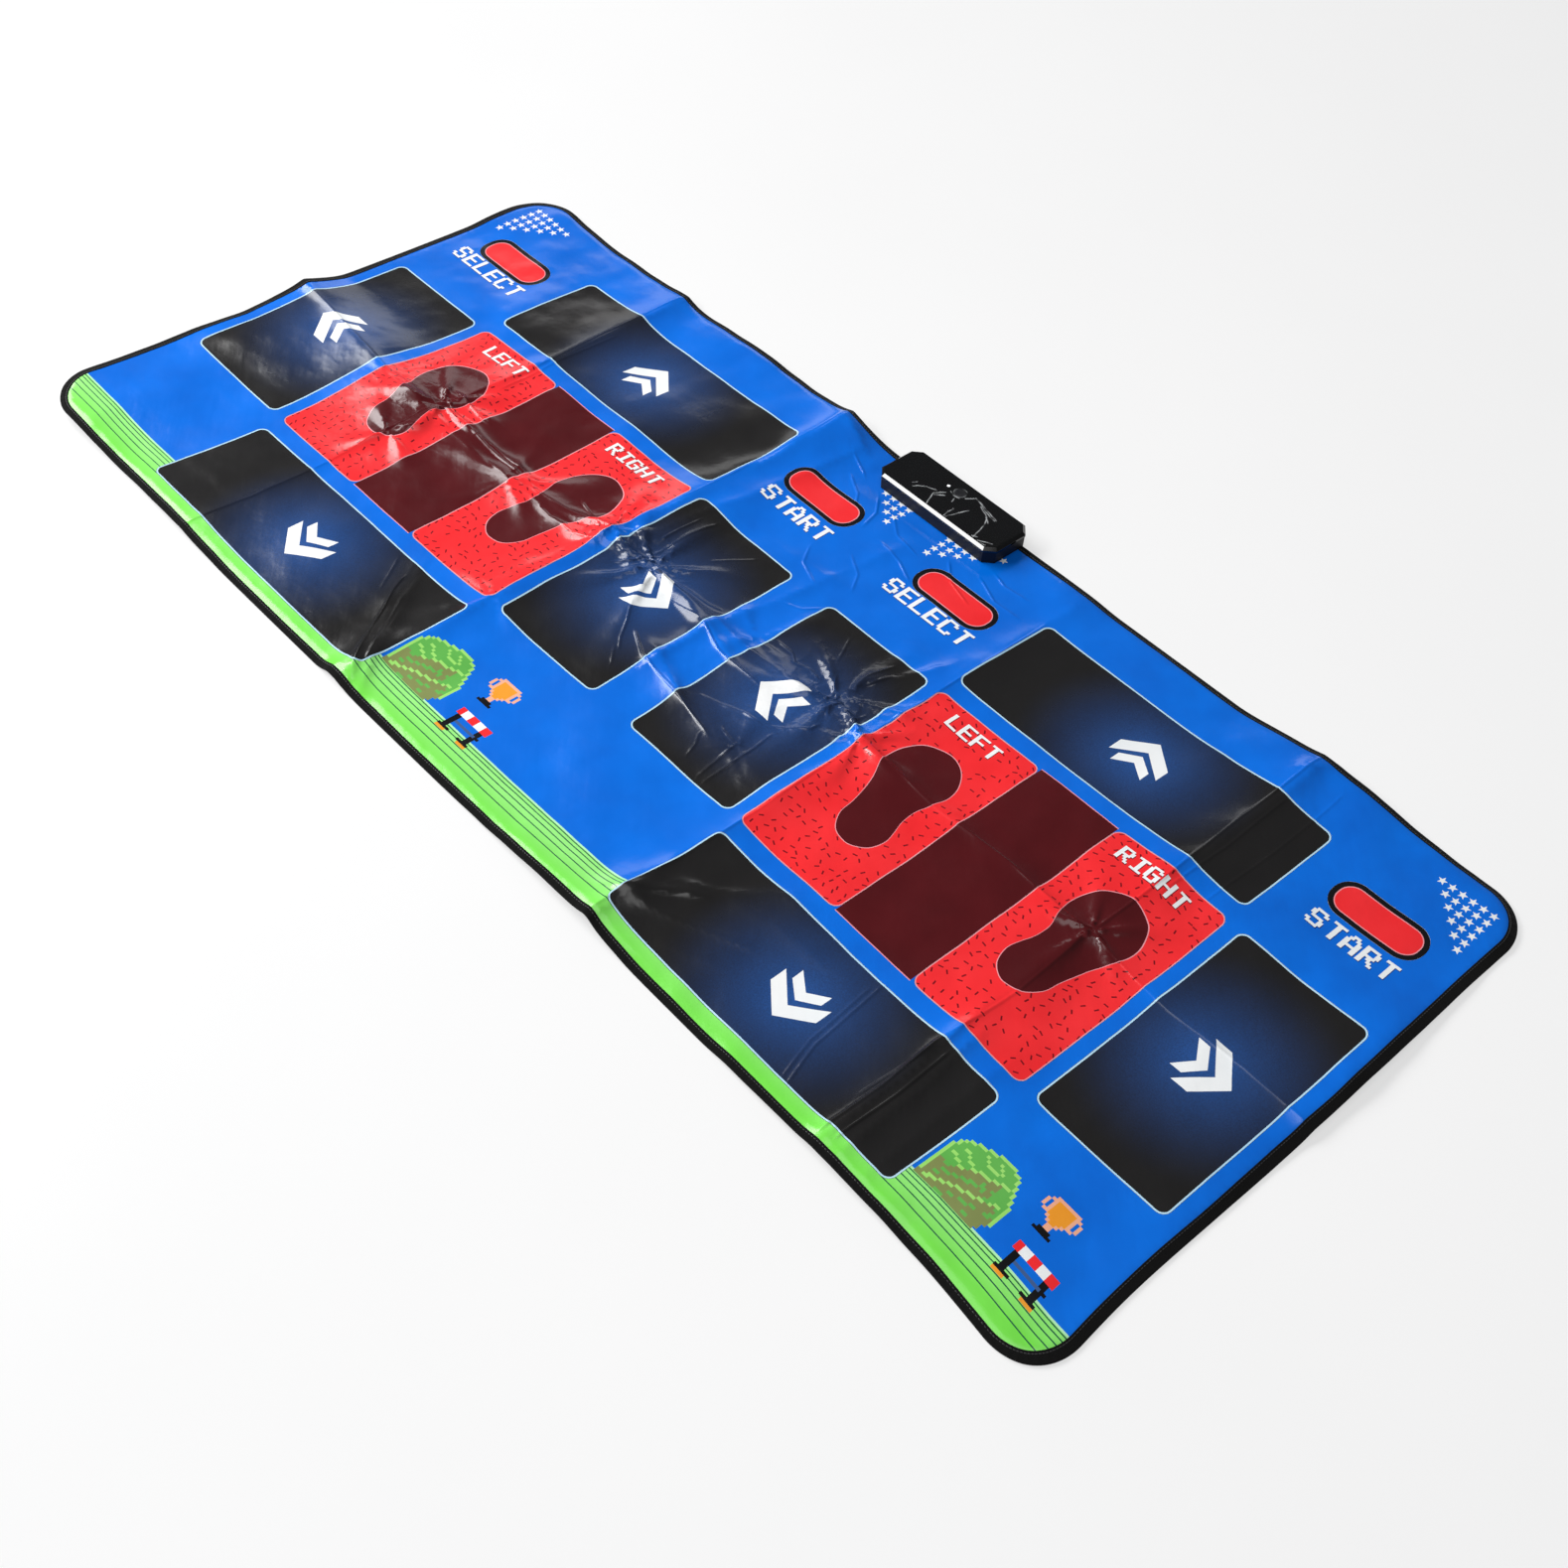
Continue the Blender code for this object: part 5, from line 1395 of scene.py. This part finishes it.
def make_stitches():
    """The row of stitches that holds the tape, each a short thread that dips at both ends."""
    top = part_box("edge_tape")[1].z
    points, faces = [], []
    for edge, inward in along_outline(0, STITCH_PITCH):
        point = edge + inward * (tape_reach(edge, inward) - STITCH_INSET)
        way = Vector((-inward.y, inward.x)) * STITCH_PITCH
        half = inward * STITCH_WIDE
        spots = [(point - way * STITCH_END, -STITCH_SIDE)]
        for crown in (point - way * STITCH_SHOULDER, point + way * STITCH_SHOULDER):
            spots += [(crown + half, STITCH_SIDE), (crown - half, STITCH_SIDE), (crown, STITCH_HIGH)]
        spots.append((point + way * STITCH_END, -STITCH_SIDE))
        laid = lay(np.array([spot for spot, _ in spots]), top)[0]
        laid[:, 2] += [level for _, level in spots]
        first = len(points)
        points += laid.tolist()
        for face in (
            (0, 1, 2), (0, 2, 3), (0, 3, 1), (1, 3, 6, 4), (3, 2, 5, 6), (2, 1, 4, 5),
            (7, 5, 4), (7, 6, 5), (7, 4, 6),
        ):
            faces.append(tuple(first + corner for corner in face))
    mesh = bpy.data.meshes.new("binding_stitches")
    mesh.from_pydata(points, [], faces)
    shape = bmesh.new()
    shape.from_mesh(mesh)
    bmesh.ops.recalc_face_normals(shape, faces=shape.faces)
    shape.to_mesh(mesh)
    shape.free()
    new_object("binding_stitches", mesh, [spun_thread()], "mat", smooth=True)


def turned(name, profile, centre, material, body, node, steps=48):
    """A profile of (radius, height) points, top to bottom, turned about an upright axis."""
    mesh = bpy.data.meshes.new(name)
    shape = bmesh.new()
    verts = [shape.verts.new((radius, 0, height)) for radius, height in profile]
    edges = [shape.edges.new(pair) for pair in zip(verts, verts[1:])]
    bmesh.ops.spin(
        shape, geom=verts + edges, axis=(0, 0, 1), cent=(0, 0, 0), steps=steps,
        angle=2 * math.pi, use_merge=True,
    )
    bmesh.ops.remove_doubles(shape, verts=shape.verts, dist=1e-6)
    bmesh.ops.recalc_face_normals(shape, faces=shape.faces)
    bmesh.ops.translate(shape, verts=shape.verts, vec=(centre.x, centre.y, 0))
    shape.to_mesh(mesh)
    shape.free()
    piece = new_object(name, mesh, [material], body, smooth=True)
    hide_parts(node)


FLANGE = 1.5 * MM  # width of the flange that keeps the button and the light pipe under the lid
FLANGE_DOWN = 2.1 * MM  # from their tops to it


def make_button():
    """The power button: a flush round cap, slightly dished, on its flange and stem."""
    low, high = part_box("power_button")
    centre = (low + high) / 2
    flange = (high.x - low.x) / 2
    cap = flange - FLANGE
    profile = [
        (0, high.z - 0.25 * MM), (cap * 0.5, high.z - 0.18 * MM), (cap - 1.2 * MM, high.z - 0.02 * MM),
        (cap - 0.7 * MM, high.z), (cap - 0.3 * MM, high.z - 0.06 * MM), (cap, high.z - 0.4 * MM),
        (cap, high.z - FLANGE_DOWN), (flange, high.z - FLANGE_DOWN), (flange, low.z + 0.5 * MM),
        (2 * MM, low.z + 0.5 * MM), (2 * MM, low.z), (0, low.z),
    ]
    satin = sparked_abs("satin_abs", "1A1B1E", "202125", 0.38)
    turned("power_cap", profile, centre, satin, "power", "power_button")


def make_light():
    """The light pipe: a small lens in the lid on a flanged stem."""
    low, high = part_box("light_pipe")
    centre = (low + high) / 2
    flange = (high.x - low.x) / 2
    stem = flange - FLANGE
    profile = [
        (0, high.z), (stem * 0.6, high.z - 0.04 * MM), (stem - 0.2 * MM, high.z - 0.12 * MM),
        (stem, high.z - 0.35 * MM), (stem, high.z - FLANGE_DOWN), (flange, high.z - FLANGE_DOWN),
        (flange, high.z - 3.3 * MM), (stem, high.z - 3.3 * MM), (stem, low.z), (0, low.z),
    ]
    turned("indicator_lens", profile, centre, frosted_acrylic_painted_glow(), "mat", "light_pipe")


# Creases of the film on the lid, in millimetres from the button: each a list of points
FILM_CREASES = (
    ((-42, -32), (-34, -25), (-21, -19)), ((-20, -25), (-11, -14)), ((-17, -27), (-8, -18)),
    ((-20, -26), (-15, -36), (-11, -46)), ((17, -47), (15, -37), (15, -27)),
    ((19, -46), (23, -33), (29, -15)), ((11, -3), (19, 8), (40, 3), (62, -3)),
    ((21, 8), (44, -1), (61, -5)), ((33, 1), (49, -6), (59, -14)),
    ((51, -6), (57, -17), (61, -29), (65, -45)), ((62, -44), (68, -41)),
    ((-9, -7), (-1, -10), (6, -8)), ((3, -14), (5, -20)), ((72, -45), (80, -40), (88, -36)),
    ((76, -47), (84, -44)), ((-49, -31), (-46, -27)), ((-44, -36), (-40, -30)),
)
FILM_CREASE = (0.35, 0.9)  # height and reach
FILM_WHITENING_AND_HIGHLIGHT = 0.45  # how far a crease is painted milky white, as highlight and whitening, to each side
BUTTON_RING = 7.9  # radius of the crease that the button presses into the film
RING_CREASE = (0.15, 0.8)
RING_WHITENING_AND_HIGHLIGHT = (0.3, 0.6)  # how much painted highlight and whitening it has, and its reach
FILM_WANDER = 0.8  # how far the creases stray from their points
FILM_PATCH = 9  # size of the patches in which they stray and in which their painted highlight and whitening vary
FILM_WAVES = ((16, 0.1, 33), (6, 0.03, 34))  # size, height and seed, long and short
FILM_STEP = 0.7 * MM  # spacing of the film's points


def film_height(x, y, centre):
    """Height of the film's creases over the lid at points in metres, and the share of painted highlight
    and whitening along them.
    """
    u, v = (x - centre.x) / MM, (y - centre.y) / MM
    stray = [FILM_WANDER * lumps(u, v, FILM_PATCH, seed) for seed in (31, 32)]
    u, v = u + stray[0], v + stray[1]
    (size, high, seed), (short, low, short_seed) = FILM_WAVES
    height = high * (1 + lumps(u, v, size, seed)) + low * lumps(u, v, short, short_seed)
    whitening_and_highlight = np.zeros(len(u))
    for line in FILM_CREASES:
        away = off_path(u, v, line)
        height = height + FILM_CREASE[0] * fade(away, FILM_CREASE[1])
        whitening_and_highlight = np.maximum(whitening_and_highlight, fade(away, FILM_WHITENING_AND_HIGHLIGHT))
    away = np.hypot(u, v) - BUTTON_RING
    height = height + RING_CREASE[0] * fade(away, RING_CREASE[1])
    whitening_and_highlight = np.maximum(whitening_and_highlight, RING_WHITENING_AND_HIGHLIGHT[0] * fade(away, RING_WHITENING_AND_HIGHLIGHT[1]))
    whitening_and_highlight *= np.clip(0.42 + 0.6 * lumps(u, v, FILM_PATCH, 35), 0.05, 0.7)
    return np.maximum(height, 0) * MM, whitening_and_highlight


def make_film():
    """Clear film stuck to the lid's flat top, wrinkled where the button was pressed through it."""
    low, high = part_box("lid_film")
    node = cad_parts["lid_film"]
    corners = sorted({(round(v.co.x, 6), round(v.co.y, 6)) for v in node.data.vertices})
    middle = (low + high) / 2
    corners.sort(key=lambda c: math.atan2(c[1] - middle.y, c[0] - middle.x))
    step = FILM_STEP
    points = []
    rows, columns = int((high.y - low.y) / step), int((high.x - low.x) / step)
    for row in range(1, rows):
        for column in range(1, columns):
            points.append((low.x + (column + row % 2 / 2) * step, low.y + row * step))
    flat, triangles, _ = cut_flat(points, [], [(corners, "film")], step)
    raised, whitening_and_highlight = film_height(flat[:, 0], flat[:, 1], plan("power_button")[0])
    top = np.column_stack([flat, high.z + raised])
    bottom = np.column_stack([flat, low.z + raised])
    mesh = bpy.data.meshes.new("lid_wrap")
    mesh.from_pydata(np.vstack([top, bottom]).tolist(), [], closed_faces(triangles, len(flat)))
    # The creases' milky white is painted highlight, with some of the film's own whitening
    highlight_layer = mesh.attributes.new("whitening_and_highlight", "FLOAT", "POINT")
    highlight_layer.data.foreach_set("value", np.tile(whitening_and_highlight, 2).astype(np.float32))
    piece = new_object("lid_wrap", mesh, [cling_film()], "mat", smooth=True)
    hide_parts("lid_film")


def soften(node, width):
    """Rounds the sharp edges of a moulded or pressed piece by a fraction of a millimetre."""
    weld = node.modifiers.new("weld", "WELD")
    weld.merge_threshold = 0.002 * MM
    clean = node.modifiers.new("flat_faces", "DECIMATE")
    clean.decimate_type = "DISSOLVE"
    clean.angle_limit = math.radians(0.5)
    edge = node.modifiers.new("soft_edge", "BEVEL")
    edge.width = width
    edge.segments = 3
    edge.limit_method = "ANGLE"
    edge.angle_limit = math.radians(35)
    edge.use_clamp_overlap = True
    edge.harden_normals = True


def dress(names, material, edge=0.0):
    """Gives solids their material, and rounds their edges where a width is given."""
    for name in names:
        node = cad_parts[name]
        node.data.materials.clear()
        node.data.materials.append(material)
        if edge:
            soften(node, edge)


def dress_solids(film):
    """Materials of the solids that keep their own shape."""
    zinc = drawn_steel("zinc_plated_steel", "8E9296", "A9ADB0", 0.32)
    nickel = drawn_steel("nickel_plated_spring_steel", "B5B2A8", "C9C6BC", 0.2)
    tinplate = drawn_steel("tinned_steel_shield", "A8ABAE", "BCBFC2", 0.28, (1, 1, 1))
    moulded = sparked_abs()
    white = sparked_abs("white_nylon", "DAD8CF", "E6E4DC", 0.4)
    dress(["box_lid"], polished_abs(), 0.5 * MM)
    dress(["box_housing", "battery_door"], moulded, 0.3 * MM)
    dress(["key_switch", "processor"], moulded)
    dress(["clamp_plate"], zinc, 0.2 * MM)
    dress(SCREWS, zinc)
    dress(["battery_spring", "spring_contact", "flat_contact"], nickel)
    dress(["radio_module"], tinplate)
    dress(["switch_plunger", "tail_socket", "indicator_diode"], white)
    dress(["circuit_board"], solder_mask())
    dress(["film_tail"], film)
    dress(["cell_1", "cell_2", "cell_3"], cell_sleeve())


# Place, the point that it faces, width and height in metres, and power in watts
SOFTBOXES = {
    "key": ((-4.9, -1.1, 4.1), (0, 0, 0), (4.0, 3.2), 370),
    "overhead": ((0.6, -0.75, 2.8), (0.2, 0, 0), (2.0, 1.8), 24),
    "front_left": ((-1.46, -1.58, 1.81), (0, 0.3, 0), (0.85, 0.45), 26),
    "window": ((-3.1, 2.9, 1.5), (-0.2, 0.2, 0), (2.6, 0.9), 10),
}


def softbox(name, place, aim, size, power):
    """A white rectangular lamp, turned to a point."""
    lamp = bpy.data.lights.new(name, "AREA")
    lamp.shape = "RECTANGLE"
    lamp.size, lamp.size_y = size
    lamp.energy = power
    holder = bpy.data.objects.new(name, lamp)
    holder.location = place
    holder.rotation_euler = (Vector(aim) - Vector(place)).to_track_quat("-Z", "Y").to_euler()
    bpy.context.scene.collection.objects.link(holder)


FLOOR_WHITE = 0.6  # share of plain white in what the camera sees of the floor


def make_studio():
    """A pale floor, softboxes at the left, above and in front, a low window, and a dim surround."""
    made, tree, shader, place = start("painted_studio_floor", 0.9)
    mottle(tree, shader, place, "ECECEC", "F0F0F0", 0.5)
    # The floor shows nearly white to the camera and in reflections, and keeps the mat's shadow
    path = add(tree, "LightPath")
    seen = add(tree, "Math", {0: path.outputs["Is Camera Ray"], 1: path.outputs["Is Glossy Ray"]})
    seen = add(tree, "Math", {0: seen.outputs[0], 1: path.outputs["Is Transmission Ray"]})
    share = add(tree, "Math", {0: seen.outputs[0], 1: FLOOR_WHITE}, operation="MULTIPLY").outputs[0]
    glow = add(tree, "Emission", {"Color": (1, 1, 1, 1), "Strength": 1.0})
    mixed = add(tree, "MixShader", {0: share, 1: shader.outputs[0], 2: glow.outputs[0]})
    tree.links.new(mixed.outputs[0], tree.nodes["Material Output"].inputs["Surface"])
    mesh = bpy.data.meshes.new("studio_floor")
    shape = bmesh.new()
    bmesh.ops.create_grid(shape, x_segments=8, y_segments=8, size=20)
    shape.to_mesh(mesh)
    shape.free()
    mesh.materials.append(made)
    floor = bpy.data.objects.new("studio_floor", mesh)
    floor.location.z = -0.2 * MM
    bpy.context.scene.collection.objects.link(floor)

    world = bpy.context.scene.world or bpy.data.worlds.new("surround")
    bpy.context.scene.world = world
    world.use_nodes = True
    background = world.node_tree.nodes["Background"]
    background.inputs["Color"].default_value = linear("F6F7FA")
    background.inputs["Strength"].default_value = 0.12
    for name, values in SOFTBOXES.items():
        softbox(name, *values)


def make_camera():
    """The camera, at the photograph's angle and distance."""
    azimuth, elevation, roll = (math.radians(a) for a in (AZIMUTH, ELEVATION, ROLL))
    back = Vector((
        math.sin(azimuth) * math.cos(elevation), -math.cos(azimuth) * math.cos(elevation),
        math.sin(elevation),
    ))
    level = Vector((math.cos(azimuth), math.sin(azimuth), 0))
    upright = back.cross(level)
    right = level * math.cos(roll) + upright * math.sin(roll)
    up = upright * math.cos(roll) - level * math.sin(roll)
    lens = bpy.data.cameras.new("camera")
    lens.lens = LENS
    lens.sensor_width = SENSOR
    lens.clip_start, lens.clip_end = 0.05, 100
    camera = bpy.data.objects.new("camera", lens)
    turn = Matrix((right, up, back)).transposed().to_4x4()
    camera.matrix_world = Matrix.Translation(TARGET + back * DISTANCE) @ turn
    bpy.context.scene.collection.objects.link(camera)
    bpy.context.scene.camera = camera


foam = foam_rubber()
silver_film = make_plies()
for pad in PADS:
    make_pad(pad, silver_film)
make_tape()
make_stitches()
make_button()
make_light()
make_film()
dress_solids(silver_film)
make_studio()
make_camera()
bpy.context.scene.view_settings.view_transform = "Standard"
